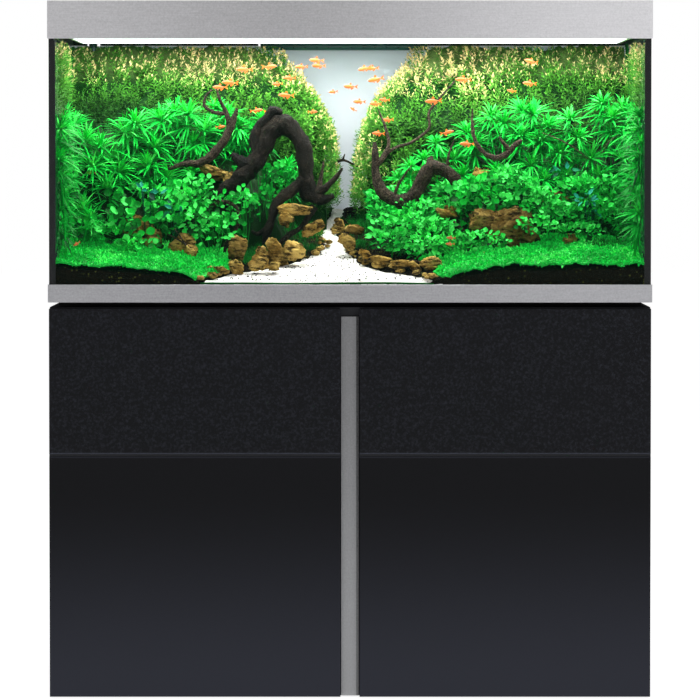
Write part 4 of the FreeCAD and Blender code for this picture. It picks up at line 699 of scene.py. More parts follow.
rightWood = [
    ([(.047, -.060, 1.034, .003), (.048, -.062, 1.008, .0065), (.048, -.062, .978, .0095),
      (.060, -.064, .943, .0125), (.090, -.066, .922, .014), (.122, -.064, .932, .0145),
      (.138, -.062, .962, .0145), (.156, -.062, .985, .016), (.184, -.062, .978, .013),
      (.204, -.064, .955, .0115), (.222, -.066, .926, .008), (.232, -.070, .88, .004)], .5),
    ([(.150, -.062, .990, .009), (.154, -.06, 1.002, .006), (.156, -.06, 1.008, .0025)], .7),
    ([(.052, -.062, .992, .006), (.066, -.058, 1.010, .0055), (.073, -.056, 1.026, .004),
      (.068, -.052, 1.060, .003), (.058, -.049, 1.086, .002), (.052, -.048, 1.1, .001)], .85),
    ([(.068, -.058, 1.012, .004), (.088, -.052, 1.024, .0032), (.113, -.050, 1.032, .003),
      (.138, -.047, 1.048, .003), (.150, -.046, 1.060, .0028), (.150, -.045, 1.090, .0026),
      (.166, -.042, 1.112, .0024), (.199, -.040, 1.150, .0015)], .7),
    ([(.084, -.066, .932, .0035), (.090, -.072, .950, .003), (.104, -.078, .972, .002),
      (.116, -.08, .99, .001)], .7),
    ([(.184, -.062, .982, .0035), (.186, -.066, 1.004, .0025), (.198, -.070, 1.040, .001)], .6),
    ([(.232, -.080, 1.098, .0015), (.232, -.081, 1.065, .003), (.238, -.082, 1.036, .0045),
      (.256, -.084, 1.012, .0055), (.280, -.086, 1.004, .0062), (.300, -.087, 1.014, .0062),
      (.314, -.088, 1.030, .0055), (.326, -.088, 1.038, .0025)], .8),
    ([(.304, -.088, 1.018, .0045), (.292, -.091, 1.030, .0042), (.282, -.094, 1.044, .0015)], .85),
    ([(.196, -.10, .884, .0025), (.214, -.104, .868, .003), (.228, -.106, .856, .003),
      (.222, -.108, .838, .003), (.206, -.11, .826, .0015)], .75),
    ([(.118, -.15, .862, .0012), (.118, -.152, .836, .0018), (.119, -.153, .812, .0015)], .2),
    ([(.150, -.15, .848, .0012), (.145, -.152, .832, .0022), (.128, -.154, .818, .0022),
      (.120, -.154, .806, .001)], .35),
    ([(.090, -.185, .806, .001), (.112, -.188, .812, .0022), (.134, -.189, .808, .0018),
      (.15, -.19, .802, .001)], .6),
    ([(.365, -.06, 1.052, .0008), (.395, -.062, 1.040, .0013), (.425, -.064, 1.024, .0013),
      (.452, -.066, 1.002, .0008)], .9),
    ([(.512, -.05, 1.05, .0008), (.494, -.052, 1.036, .0011), (.478, -.054, 1.012, .0008)], .9),
]
farWood = [
    ([(-.066, .12, .958, .003), (-.040, .12, .985, .003), (-.014, .12, 1.0, .003),
      (.006, .12, .992, .002), (.024, .12, .984, .0025)], .35),
    ([(-.014, .12, 1.0, .0025), (-.010, .12, 1.012, .0012)], .35),
]
barkPaint = bark("woodSoaked", (0.003, 0.0024, 0.0016), (0.15, 0.11, 0.072))


def makeWood(name, limbs, replaces=()):
    patches = []
    for k, (points, pale) in enumerate(limbs):
        line = np.array(points)
        sides, rough = (14, 0.3) if line[:, 3].max() > 0.006 else (8, 0.12)
        patches.append(tubePatch(line[:, :3], line[:, 3] * 0.94, sides=sides, rough=rough,
                                 seed=60 + k, tint=pale))
    addPiece(name, patches, barkPaint, replaces=replaces)


makeWood("driftwoodLeft", leftWood, ["driftwood"])
makeWood("driftwoodRight", rightWood)
makeWood("driftwoodFar", farWood)


stemPlants = {"slope": 1050, "gapSide": 330, "front": 330, "wall": 150, "whorls": 9, "pitch": 0.0062,
              "leaf": 0.0128, "width": 0.0014}
# the last number of each foliage paint is the strength of its painted light
stemPaint = foliage("leafStem", (0.002, 0.022, 0.004), (0.10, 0.40, 0.035), (0.80, 0.62, 0.30), 0.64, 0.19)
# near-black undergrowth colours: painted shade inside the hedges
corePaint = foliage("undergrowth", (0.001, 0.008, 0.001), (0.006, 0.05, 0.006), (0.13, 0.22, 0.06),
                    0.55, 0.05)
gapLeft = np.array([(-0.155, 1.234), (-0.109, 1.181), (-0.074, 1.132), (-0.050, 1.094), (-0.030, 1.05),
                    (-0.025, 1.012), (-0.022, 0.9), (-0.018, 0.78)])
gapRight = np.array([(0.130, 1.234), (0.102, 1.173), (0.065, 1.14), (0.04, 1.098), (0.024, 1.058),
                     (0.012, 1.01), (0.004, 0.9), (-0.002, 0.78)])


def reachAt(x, side):
    # how high one side's plants grow at x: full height at the sides, falling to the gap in the middle
    line = gapLeft if side < 0 else gapRight[::-1]
    return np.interp(x, line[:, 0], line[:, 1])


def gapAt(z, side):
    line = gapLeft if side < 0 else gapRight
    return np.interp(z, line[::-1, 1], line[::-1, 0])


def frontAt(y):
    return 1.078 + (y - 0.075) * 1.06


# how tall the lower mass is across the width
massX = [-0.56, -0.46, -0.42, -0.35, -0.26, -0.18, -0.13, -0.10,
         0.04, 0.07, 0.12, 0.2, 0.3, 0.42, 0.5, 0.56]
massTall = [0.14, 0.13, 0.09, 0.10, 0.13, 0.12, 0.05, 0,
            0, 0.03, 0.06, 0.08, 0.12, 0.08, 0.11, 0.13]


def makeUndergrowth():
    # dark leafy mass inside the hedges: a lumpy surface kept a little below the leaf tips; its near-black
    # colour is painted shade, and its top is painted lighter
    patches = []
    for low, high, side in ((-0.539, -0.012, -1), (-0.012, 0.539, 1)):
        x, y = np.meshgrid(np.linspace(low, high, 260), np.linspace(0.1, 0.24, 50))
        spot = flatSpot(x, y)
        z = np.minimum(reachAt(x - side * 0.024, side) - 0.012, frontAt(y) - 0.03)
        z = z + 0.006 * sway(spot, 55, 71) + 0.004 * sway(spot, 210, 72)
        # painted light: the top of the mass is paler
        paler = 0.45 + 0.55 * np.clip((z - 1.13) / 0.07, 0, 1)
        patches.append(grid(skirted(x, y, np.maximum(z, bedTop(x, y) - 0.01), 0.78),
                            tint=np.pad(paler, 1, "edge")[None], along=0.8))
        x, y = np.meshgrid(np.linspace(low, high, 260), np.linspace(-0.075, 0.11, 60))
        tall = np.interp(x, massX, massTall)
        spot = flatSpot(x, y)
        slope = np.clip((y + 0.075) / 0.035, 0, 1) ** 0.5 * (1 + 0.5 * np.clip((y + 0.02) / 0.1, 0, 1))
        lumps = (0.008 * sway(spot, 70, 73) + 0.005 * sway(spot, 210, 74)) * (tall > 0.01)
        z = bedTop(x, y) - 0.01 + tall * slope + lumps
        patches.append(grid(skirted(x, y, z, 0.78), tint=0.4, along=0.8))
    addPiece("undergrowth", patches, corePaint)


def shoots(side):
    # each row: where a shoot ends and the way it points
    far = 0.546 * side
    edge = min(far, 0.0), max(far, 0.0)
    rows = []
    x, y = scatter(np.array([edge[0], 0.07]), np.array([edge[1], 0.235]), stemPlants["slope"]).T
    z = np.minimum(reachAt(x, side), frontAt(y)) + chance.normal(0, 0.005, len(x))
    keep = z > bedTop(x, y) + 0.04
    rows.append((np.stack([x, y, z], 1)[keep], np.array([0.15 * -side, -0.6, 1.0])))
    z, y = scatter(np.array([0.93, 0.06]), np.array([1.215, 0.235]), stemPlants["gapSide"]).T
    inside = z < frontAt(y) + 0.01
    x = gapAt(z, side) + chance.normal(0, 0.004, len(z)) + side * 0.004
    rows.append((np.stack([x, y, z], 1)[inside], np.array([0.8 * -side, -0.35, 0.9])))
    x, z = scatter(np.array([edge[0], 0.93]), np.array([edge[1], 1.09]), stemPlants["front"]).T
    x = x * np.where(chance.random(len(x)) < 0.6, 0.55, 1.0)
    keep = z < reachAt(x, side)
    backRow = np.stack([x, 0.07 + chance.normal(0, 0.008, len(x)), z], 1)
    rows.append((backRow[keep], np.array([0, -0.8, 0.8])))
    y, z = scatter(np.array([-0.23, 1.08]), np.array([0.08, 1.22]), stemPlants["wall"]).T
    low = z > 1.09 - 0.1 * (y - 0.08)
    ends = np.stack([np.full(len(y), far - side * 0.006), y, z], 1)
    rows.append((ends[low], np.array([-0.25 * side, -0.3, 1.0])))
    tips = np.concatenate([r[0] for r in rows])
    ways = np.concatenate([np.broadcast_to(r[1], r[0].shape) for r in rows])
    return tips, unit(ways + chance.normal(0, 0.2, tips.shape))


# painted shade on the stem plants: at each distance from the middle, the height below which the left and
# the right hedge are darker
stemShade = {"at": [0.1, 0.25, 0.36], "left": [1.08, 1.05, 1.105], "right": [1.08, 1.07, 1.10]}


def makeStemPlants(name, side, replaces=()):
    # along each shoot a whorl of three leaves every few millimetres, closing towards the tip
    tips, ways = shoots(side)
    count = stemPlants["whorls"]
    shoot = np.repeat(np.arange(len(tips)), count * 3)
    level = np.tile(np.repeat(np.arange(count), 3), len(tips))
    k = np.tile(np.arange(3), len(tips) * count)
    axis = ways[shoot]
    spot = tips[shoot] - axis * (level * stemPlants["pitch"])[:, None]
    across = unit(np.cross(axis, np.array([0.3, 0.9, 0.2])))
    third = np.cross(axis, across)
    turn = level * 1.05 + k * 2.094 + shoot * 0.7 + chance.normal(0, 0.3, len(k))
    lean = np.radians(22 + 46 * np.clip(level / 3, 0, 1) + chance.normal(0, 9, len(k)))
    out = across * np.cos(turn)[:, None] + third * np.sin(turn)[:, None]
    aim = axis * np.cos(lean)[:, None] + out * np.sin(lean)[:, None]
    wide = np.where(sway(tips, 22, 77) > 0.1, 1.25, 0.85)[shoot]
    length = stemPlants["leaf"] * (0.7 + 0.5 * chance.random(len(k)))
    length = length * (0.62 + 0.38 * np.clip(level / 3, 0, 1)) * wide ** 0.3
    high = np.clip((tips[shoot, 2] - 1.07) / 0.13, 0, 1)
    young = np.exp(-level / 2.4)
    toGap = np.clip(1 - np.abs(tips[shoot, 0] - 0.0) / 0.24, 0, 1)
    fresh = 0.12 + 0.42 * high + 0.5 * toGap * (1 - 0.5 * high)
    tint = 0.10 + 0.42 * chance.random(len(k)) + young * fresh + 0.14 * high
    # painted shade: the leaves are darker below a height that changes along the hedge, and less so near the
    # gap
    start = stemShade["left"] if side < 0 else stemShade["right"]
    start = np.interp(np.abs(tips[shoot, 0]), stemShade["at"], start)
    shade = np.clip((tips[shoot, 2] - start) / 0.05, 0, 1)
    shade = np.maximum(shade, np.clip(1.25 - np.abs(tips[shoot, 0]) / 0.2, 0, 1) * 0.9)
    # how dark the painted shade makes the lowest leaves on each side
    lowest = 0.12 if side < 0 else 0.34
    tint = np.clip(tint + 0.16 * sway(tips, 20, 9)[shoot], 0, 1) * (lowest * (1 - shade) + shade)
    patches = [leafPatches(spot, aim, axis, length, stemPlants["width"] * wide, 0.15, rows=3, tint=tint)]
    addPiece(name, patches, stemPaint, replaces=replaces)


# the last number is the strength of the painted light
wallPaint = foliage("leafWall", (0.002, 0.05, 0.007), (0.012, 0.42, 0.05), (0.10, 0.6, 0.12), 0.8, 0.22)


def makeSidePlanting():
    # leaves pressed against each side glass: a lumpy mottled sheet, x = side (0.5425 + 0.003 lump)
    y, rise = np.meshgrid(np.linspace(-0.235, 0.24, 170), np.linspace(0, 1, 170))
    top = np.interp(y, [-0.235, -0.15, 0.0, 0.1, 0.24], [0.97, 1.07, 1.13, 1.19, 1.222])
    patches = []
    for side in (-1, 1):
        spot = np.stack([y, rise * 0.45 + side, y * 0], -1)
        low = bedTop(side * 0.54 + 0 * y, y) - 0.01
        z = low + (top - low) * rise + (0.012 * sway(spot, 60, 75) + 0.006 * sway(spot, 260, 78)) * rise
        lump = 0.5 * sway(spot, 150, 76) + 0.5 * sway(spot, 480, 77)
        x = side * (0.5425 + 0.003 * lump)
        mottled = (0.16 + 0.34 * lump)[None].clip(0, 1)
        patches.append(grid(np.stack([x, y, z], -1)[None], tint=mottled, along=0.8))
    addPiece("sidePlanting", patches, wallPaint)


makeUndergrowth()
makeStemPlants("stemPlantsLeft", -1, ["stem_plants"])
makeStemPlants("stemPlantsRight", 1)


# the last number is the strength of the painted light
spikyPaint = foliage("leafSpiky", (0.001, 0.06, 0.008), (0.006, 0.56, 0.045), (0.10, 0.82, 0.13),
                     0.76, 0.10)
# each head: x, y, z and its size
leftHeads = [
    (-.53, .0, 1.062, 1.0), (-.505, -.02, 1.035, 1.1), (-.535, -.03, 1.0, 1.0), (-.475, -.02, 1.02, 1.1),
    (-.455, .0, 1.0, 1.2), (-.43, .01, 1.05, 1.15), (-.41, .0, 1.068, 1.0), (-.375, -.01, 1.022, 1.2),
    (-.36, .01, 1.075, 1.1), (-.335, .02, 1.09, .9), (-.31, .0, 1.085, 1.1), (-.28, .0, 1.052, 1.0),
    (-.30, .01, 1.03, .9), (-.385, -.03, .985, 1.1), (-.44, -.035, .975, 1.15), (-.49, -.045, .985, 1.1),
    (-.525, -.06, .955, 1.1), (-.46, -.06, .945, 1.0), (-.505, -.09, .905, 1.0), (-.49, -.11, .885, .85),
    (-.53, -.10, .885, 1.0), (-.235, .03, 1.085, .85), (-.215, .03, 1.06, .9), (-.24, .035, 1.02, .8),
    (-.185, .03, 1.055, .7), (-.17, .03, 1.075, .7), (-.35, -.02, .965, .9), (-.20, .03, .985, .7),
    (-.12, .04, .985, .7), (-.30, -.03, .975, .75), (-.26, .035, 1.098, .7), (-.540, -.21, .905, .8),
    (-.542, -.20, .965, .9), (-.542, -.17, 1.02, .9), (-.542, -.12, 1.065, .9), (-.540, -.15, .93, .9),
    (-.542, -.22, 1.0, .8), (-.542, -.20, 1.055, .8), (-.542, -.06, 1.08, .9), (-.54, -.11, .985, .9),
]
rightHeads = [
    (.20, .02, 1.0, .8), (.225, .02, 1.05, .8), (.24, .01, 1.03, .85), (.215, .0, .97, .8),
    (.27, .02, 1.08, .9), (.295, .01, 1.07, .9), (.33, .01, 1.09, .85), (.35, .0, 1.085, 1.0),
    (.325, -.01, 1.045, .9), (.38, .0, 1.06, .9), (.365, -.01, 1.035, .85), (.345, -.02, .99, .9),
    (.40, -.01, 1.01, 1.0), (.46, -.01, 1.0, 1.1), (.475, -.03, .965, 1.1), (.435, -.02, 1.04, .8),
    (.50, .0, 1.075, 1.0), (.525, .0, 1.09, .9), (.535, -.01, 1.05, 1.0), (.52, -.03, 1.0, 1.1),
    (.54, -.04, .965, 1.0), (.525, -.05, .935, 1.0), (.495, -.06, .925, .9), (.28, -.02, .975, .8),
    (.31, -.03, .965, .8), (.255, -.02, .945, .7), (.37, -.035, .96, .8), (.53, -.07, .90, .9),
    (.54, -.02, 1.02, .9), (.115, .0, .985, .65), (.095, .01, .962, .6), (.14, .02, 1.0, .6),
    (.41, -.03, .97, .8), (.165, .02, 1.03, .6), (.485, .03, 1.105, .8), (.540, -.21, .90, .8),
    (.542, -.20, .955, .85), (.542, -.17, 1.005, .9), (.542, -.13, 1.05, .9), (.540, -.14, .92, .85),
    (.542, -.22, 1.03, .75), (.542, -.08, 1.09, .8), (.54, -.11, .975, .85), (.542, -.2, 1.08, .7),
    (.42, -.02, 1.075, .8),
]


# each ring of a head: leaves, tilt from and to in degrees, how far below the top
headRings = [(64, 4, 80, 0.0), (34, 40, 100, 0.02), (22, 55, 105, 0.042)]


def spikyLeaf(t):
    # width along a narrow leaf, blunt at the foot and sharp at the tip
    return np.sin(np.pi * (0.12 + 0.88 * t)) ** 0.7


def makeSpikyPlants(name, heads, replaces=()):
    # leaves fan out round a head's axis: aim = axis cos tilt + out sin tilt
    head = np.array(heads)
    middle, size = head[:, :3], head[:, 3]
    patches = []
    for ring, (count, low, high, drop) in enumerate(headRings):
        at = np.repeat(np.arange(len(head)), count)
        axis = unit(np.array([0.0, -0.5, 1.0]) + chance.normal(0, 0.22, (len(head), 3)))[at]
        across = unit(np.cross(axis, np.array([0.31, 0.87, 0.2])))
        third = np.cross(axis, across)
        turn = chance.random(len(at)) * 2 * np.pi
        tilt = np.radians(low + (high - low) * chance.random(len(at)) ** 0.8)
        out = across * np.cos(turn)[:, None] + third * np.sin(turn)[:, None]
        aim = unit(axis * np.cos(tilt)[:, None] + out * np.sin(tilt)[:, None])
        base = middle[at] - np.array([0, -0.3, 1.0]) * drop
        length = size[at] * (0.036 + 0.026 * chance.random(len(at)))
        up = unit(np.array([0.0, -0.25, 1.0]) + chance.normal(0, 0.2, (len(at), 3)))
        tint = np.clip(0.36 + 0.4 * chance.random(len(at)) + 0.26 * np.cos(tilt) - 0.2 * ring, 0, 1)
        width = 0.0017 * (0.8 + 0.5 * chance.random(len(at)))
        patches.append(leafPatches(base, aim, up, length, width, 0.36, rows=6, columns=2,
                                   shape=spikyLeaf, tint=tint))
    for x, y, z, _ in heads:
        foot = np.array([x + 0.1 * (0.0 - x) * 0.2, y + 0.01, bedTop(x, y + 0.01)])
        halfway = foot * 0.5 + np.array([x, y, z]) * 0.5 + np.array([0.004, 0, 0])
        line = np.array([foot, halfway, [x, y, z]])
        patches.append(tubePatch(line, [0.0014, 0.0012, 0.0009], sides=5, tint=0.55, steps=8))
    addPiece(name, patches, spikyPaint, replaces=replaces)


makeSpikyPlants("spikyPlantsLeft", leftHeads, ["spiky_plants"])
makeSpikyPlants("spikyPlantsRight", rightHeads)
makeSidePlanting()


# the last number of each is the strength of its painted light
leafyPaint = foliage("leafRound", (0.001, 0.03, 0.004), (0.012, 0.58, 0.05), (0.08, 0.80, 0.13), 0.7, 0.20)
tealPaint = foliage("leafTeal", (0.001, 0.03, 0.015), (0.006, 0.20, 0.07), (0.012, 0.25, 0.15), 0.7, 0.03)
# each cluster: x, y, z of its middle, half sizes, number of leaves, leaf length, width over length, tint
leafClusters = [
    (-.385, -.09, .925, .07, .03, .035, 120, .014, .44, .55),
    (-.405, -.115, .893, .05, .025, .03, 90, .016, .46, .5),
    (-.355, -.10, .905, .04, .03, .03, 90, .014, .44, .55),
    (-.33, -.12, .872, .04, .02, .03, 70, .013, .44, .45),
    (-.295, -.075, .940, .045, .025, .036, 190, .0085, .42, .7),
    (-.31, -.085, .92, .05, .025, .03, 200, .0085, .42, .65),
    (-.25, -.085, .90, .05, .02, .04, 190, .008, .42, .6),
    (-.205, -.075, .925, .03, .02, .02, 60, .0085, .4, .55),
    (-.20, -.09, .91, .03, .02, .04, 130, .0085, .4, .5),
    (-.29, -.12, .88, .045, .02, .03, 160, .010, .30, .65),
    (-.26, -.13, .855, .04, .02, .03, 130, .009, .30, .6),
    (-.24, -.10, .87, .04, .02, .03, 130, .008, .42, .5),
    (-.13, -.03, .965, .04, .02, .03, 130, .008, .42, .38),
    (-.12, -.03, .945, .05, .02, .03, 130, .008, .42, .3),
    (-.15, -.05, .925, .03, .02, .03, 110, .008, .42, .35),
    (-.45, -.13, .862, .05, .02, .02, 120, .011, .4, .5),
    (-.50, -.12, .87, .04, .02, .02, 80, .011, .4, .45),
    (-.40, -.15, .84, .05, .02, .014, 110, .010, .42, .55),
    (-.17, -.06, .975, .03, .02, .02, 70, .008, .42, .3),
    (.10, -.03, .925, .05, .04, .03, 260, .013, .26, .6),
    (.13, -.06, .90, .06, .04, .03, 300, .013, .26, .7),
    (.07, -.05, .895, .04, .04, .025, 240, .012, .26, .6),
    (.11, -.09, .875, .07, .04, .028, 340, .012, .28, .75),
    (.16, -.10, .862, .05, .04, .028, 260, .012, .28, .7),
    (.08, -.11, .848, .045, .03, .022, 220, .011, .28, .75),
    (.14, -.14, .838, .05, .03, .022, 220, .011, .28, .75),
    (.06, .02, .925, .03, .03, .02, 160, .011, .26, .5),
    (.19, -.04, .93, .04, .03, .03, 210, .015, .22, .6),
    (.20, -.06, .90, .05, .03, .03, 200, .012, .26, .5),
    (.24, -.09, .935, .05, .02, .03, 100, .017, .44, .55),
    (.265, -.095, .92, .05, .02, .025, 90, .016, .46, .6),
    (.30, -.08, .955, .05, .03, .03, 200, .013, .30, .6),
    (.335, -.08, .935, .05, .03, .03, 210, .011, .38, .6),
    (.36, -.09, .91, .05, .03, .03, 220, .010, .38, .65),
    (.385, -.10, .895, .05, .03, .028, 190, .009, .38, .5),
    (.30, -.03, .960, .05, .03, .022, 130, .013, .24, .6),
    (.44, -.08, .94, .05, .03, .03, 190, .012, .30, .45),
    (.49, -.07, .93, .05, .03, .04, 180, .012, .26, .4),
    (.46, -.10, .90, .06, .03, .03, 210, .010, .34, .4),
    (.35, -.14, .875, .04, .02, .02, 110, .008, .4, .6),
    (.43, -.13, .865, .05, .02, .02, 140, .009, .34, .55),
    (.50, -.11, .885, .05, .02, .03, 160, .011, .26, .35),
    (.525, -.07, .86, .02, .03, .04, 90, .012, .26, .3),
    (.25, -.15, .85, .05, .02, .016, 130, .009, .36, .7),
    (.20, -.15, .842, .05, .02, .018, 140, .010, .34, .75),
]
tealClusters = [
    (.448, -.12, .918, .022, .015, .022, 15, .020, .24, .85),
    (.41, -.08, .975, .03, .015, .012, 9, .017, .24, .5),
    (-.385, -.125, .944, .016, .012, .010, 6, .016, .26, .9),
    (-.36, -.125, .93, .012, .01, .01, 4, .014, .3, 1.0),
    (-.33, -.13, .905, .015, .012, .018, 6, .016, .26, .8),
]


def broadLeaf(t):
    return np.sin(np.pi * t) ** 0.62


def makeLeafy(name, clusters, paint, replaces=()):
    # leaves over a lumpy ball: base = middle + way * half sizes * share, each aimed outwards
    patches = []
    for k, (x, y, z, rx, ry, rz, count, size, ratio, tone) in enumerate(clusters):
        count = max(5, int(count * (0.45 if x < 0 else 0.95)))
        way = unit(chance.normal(0, 1, (count, 3)) + np.array([0, -0.5, 0.45]))
        share = 0.55 + 0.45 * chance.random((count, 1))
        base = np.array([x, y, z]) + way * np.array([rx, ry, rz]) * share
        base[:, 2] = np.maximum(base[:, 2], bedTop(base[:, 0], base[:, 1]) + 0.002)
        aim = way * np.array([1.0, 0.6, 0.25]) + chance.normal(0, 0.45, (count, 3))
        aim = unit(aim + np.array([0, -0.2, 0.15]))
        up = unit(np.array([0.0, -0.9, 0.6]) + chance.normal(0, 0.36, (count, 3)))
        length = size * (0.75 + 0.6 * chance.random(count))
        length = length * (1.3 if size < 0.0125 else 1.1) * (1.0 if x < 0 else 0.8)
        tint = np.clip(tone * (1.9 * chance.random(count) - 0.1) + 0.34 * way[:, 2], 0, 1)
        rows, shape = (6, broadLeaf) if ratio > 0.35 else (5, None)
        patches.append(leafPatches(base, aim, up, length, length * ratio, 0.12, rows=rows, columns=3,
                                   shape=shape, fold=0.35, tint=tint,
                                   along=0.5 + 0.5 * np.linspace(0, 1, rows)[None, :, None]))
        if k % 2 == 0:
            # a few bare stems from the bed into the cluster
            for j in range(5):
                top = base[j]
                foot = np.array([x + (top[0] - x) * 0.3, top[1] + 0.012, 0])
                foot[2] = bedTop(foot[0], foot[1])
                line = np.array([foot, (foot + top) / 2 + [0.003, 0, 0], top])
                patches.append(tubePatch(line, [0.0008] * 3, sides=4, tint=0.25, steps=6))
    addPiece(name, patches, paint, replaces=replaces)


makeLeafy("leafyPlants", leafClusters, leafyPaint, ["leafy_plants"])
makeLeafy("tealPlants", tealClusters, tealPaint)


# the last number is the strength of the painted light
carpetPaint = foliage("leafCarpet", (0.003, 0.14, 0.012), (0.010, 0.68, 0.07), (0.12, 0.90, 0.16),
                      0.72, 0.30)


def carpetDepth(x, y):
    # thickness of the carpet over the bed: humps, thinning out at its own edges
    spot = flatSpot(x, y)
    hump = 0.011 + 0.004 * sway(spot, 45, 31) + 0.0025 * sway(spot, 130, 32)
    leftEnd = np.interp(y, [-0.26, -0.19, -0.12, 0], [-0.290, -0.228, -0.205, -0.2])
    leftEdge = np.minimum((leftEnd - x) / 0.03, (-0.035 + 0.02 * np.sin(x * 30) - y) / 0.03)
    rightEnd = np.interp(y, [-0.26, -0.24, -0.17, -0.12, 0], [0.190, 0.160, 0.162, 0.13, 0.1])
    rightEdge = np.minimum((x - rightEnd) / 0.025, (0.0 - y) / 0.03)
    inside = np.where(x < -0.05, leftEdge, rightEdge)
    return hump * np.clip(inside, 0, 1) ** 0.6, inside


def makeCarpet(name, low, high, count):
    # height(x, y) = bed + carpet depth + fine noise, with small leaves standing on it
    x, y = np.meshgrid(np.linspace(low, high, 150), np.linspace(-0.2572, 0.0, 90))
    thick, inside = carpetDepth(x, y)
    fine = sway(flatSpot(x, y), 700, 33) * 0.0012
    z = np.where(inside > 0, bedTop(x, y) + thick + fine, bedTop(x, y) - 0.01)
    mat = grid(skirted(x, y, z), tint=0.2, along=0.6)
    px, py = scatter(np.array([low, -0.2565]), np.array([high, 0.0]), count).T
    depth, within = carpetDepth(px, py)
    keep = within > -0.05
    px, py, depth = px[keep], py[keep], depth[keep]
    base = np.stack([px, py, bedTop(px, py) + depth * 0.9], 1)
    aim = unit(np.array([0, -0.35, 0.8]) + chance.normal(0, 0.75, (len(px), 3)))
    up = unit(np.array([0.0, -0.8, 0.6]) + chance.normal(0, 0.4, (len(px), 3)))
    length = 0.0036 + 0.0040 * chance.random(len(px))
    tint = np.clip(0.3 + 0.6 * chance.random(len(px)) + 0.15 * sway(base, 40, 35), 0, 1)
    leaf = leafPatches(base, aim, up, length, length * 0.32, 0.1, rows=3, columns=2, tint=tint, along=0.7)
    addPiece(name, [mat, leaf], carpetPaint)


makeCarpet("carpetLeft", -room["halfWidth"], -0.17, 15000)
makeCarpet("carpetRight", 0.02, room["halfWidth"], 21000)

# each tuft of moss: x, y, half sizes, height above the bed, number of blades, blade length, tint
mossTufts = [
    (-.075, .05, .05, .05, .012, 900, .014, .5), (-.055, .16, .035, .05, .012, 500, .012, .55),
    (.035, .10, .035, .07, .014, 900, .014, .5), (.06, .18, .04, .05, .014, 500, .012, .45),
    (-.16, -.10, .03, .03, .014, 700, .018, .35), (-.185, -.13, .025, .02, .008, 500, .016, .6),
    (-.115, -.13, .03, .02, .006, 400, .010, .3), (-.09, -.12, .035, .02, .008, 500, .009, .4),
    (.02, -.03, .02, .03, .008, 300, .009, .4), (.48, -.13, .06, .03, .010, 800, .013, .4),
    (.35, -.17, .10, .03, .006, 700, .008, .45), (-.50, -.14, .04, .02, .008, 400, .010, .4),
    (-.10, -.06, .04, .03, .010, 500, .012, .3), (.40, -.11, .05, .02, .008, 500, .011, .3),
]


def makeMoss():
    # blades on a low dome: height = bed + lift * sqrt(1 - distance squared) * a random share
    patches = []
    for x, y, rx, ry, lift, count, size, tone in mossTufts:
        way = chance.normal(0, 0.5, (count, 2)).clip(-1, 1)
        px, py = x + rx * way[:, 0], y + ry * way[:, 1]
        out = onPath(px, py) < -0.001
        px, py, way = px[out], py[out], way[out]
        dome = np.clip(1 - (way ** 2).sum(1), 0, 1) ** 0.5
        base = np.stack([px, py, bedTop(px, py) + lift * dome * chance.random(len(px))], 1)
        aim = np.stack([way[:, 0] * 0.5, way[:, 1] * 0.4 - 0.2, 0.9 + way[:, 0] * 0], 1)
        aim = unit(aim + chance.normal(0, 0.35, (len(px), 3)))
        up = unit(np.array([0.0, -1.0, 0.4]) + chance.normal(0, 0.3, (len(px), 3)))
        tint = np.clip(tone * (0.5 + 0.9 * chance.random(len(px))), 0, 1)
        length = size * (0.6 + 0.7 * chance.random(len(px)))
        patches.append(leafPatches(base, aim, up, length, 0.0006, 0.25, rows=3, tint=tint, along=0.7))
    addPiece("mossTufts", patches, mossPaint)


makeMoss()


# each fish: x, y, z, length, heading in degrees (0 faces +X), pitch in degrees
school = [
    (-.203, -.02, 1.173, .034, 184, 0), (-.153, .0, 1.179, .030, 10, 4),
    (-.065, .01, 1.191, .030, 182, 4), (-.061, .03, 1.181, .028, 188, 0),
    (-.094, .02, 1.179, .026, 178, 0), (.027, .0, 1.175, .028, 186, -14),
    (.042, .02, 1.176, .026, 190, -2), (.048, -.01, 1.154, .033, 186, -12),
    (.0, .02, 1.141, .028, 180, 2), (-.033, .03, 1.131, .019, 185, -6), (.017, .03, 1.112, .025, 182, 0),
    (.006, .04, 1.098, .017, 150, 26), (-.230, -.01, 1.148, .032, 176, 3),
    (-.249, -.02, 1.139, .030, 184, 0), (-.140, .02, 1.146, .022, 188, -3),
    (-.123, .0, 1.124, .032, 178, 2), (-.178, .0, 1.095, .026, 4, 6), (-.153, .03, 1.095, .024, 0, 8),
    (-.117, .04, 1.158, .026, 172, 0), (-.071, .05, 1.093, .020, 10, 0), (-.247, .0, 1.064, .020, 8, 4),
    (-.510, -.215, .844, .016, 200, -30), (-.521, -.20, .817, .018, 175, 6),
    (-.293, -.22, .792, .016, 178, 0), (-.493, -.05, .976, .020, 182, 2),
    (.048, .03, 1.108, .024, 182, 2), (.065, .03, 1.116, .022, 186, 4), (.071, .0, 1.077, .024, 170, -4),
    (.053, -.01, 1.051, .026, 180, 2), (.157, -.06, 1.112, .033, 178, -4),
    (.215, -.01, 1.154, .032, 180, 0), (.345, .0, 1.189, .028, 190, 12), (.343, .02, 1.147, .028, 186, 4),
    (.309, .02, 1.133, .020, 192, 8), (.186, -.02, 1.053, .028, 0, 12), (.222, -.03, 1.031, .030, 182, 0),
    (.188, -.20, .855, .018, 182, 2), (.186, -.21, .844, .018, 180, 0),
]


def fishPaint():
    # silver belly, orange flank, a darker back and a thin dark line; along runs from nose to tail
    p = Paint("fishOrange", Roughness=0.32, Specular_IOR_Level=0.5)
    high, back = p.own("tint"), p.own("along")
    colour = high.between(0.02, 0.3).blend((0.50, 0.23, 0.10), (0.58, 0.125, 0.012))
    colour = high.between(0.78, 1.0).blend(colour, (0.13, 0.035, 0.01))
    colour = (back.between(0.25, 0.0) * 0.4).blend(colour, (0.46, 0.2, 0.1))
    # painted light: the fish give off a little light of their own colour
    return p.set(Base_Color=colour, Emission_Color=colour, Emission_Strength=0.06)


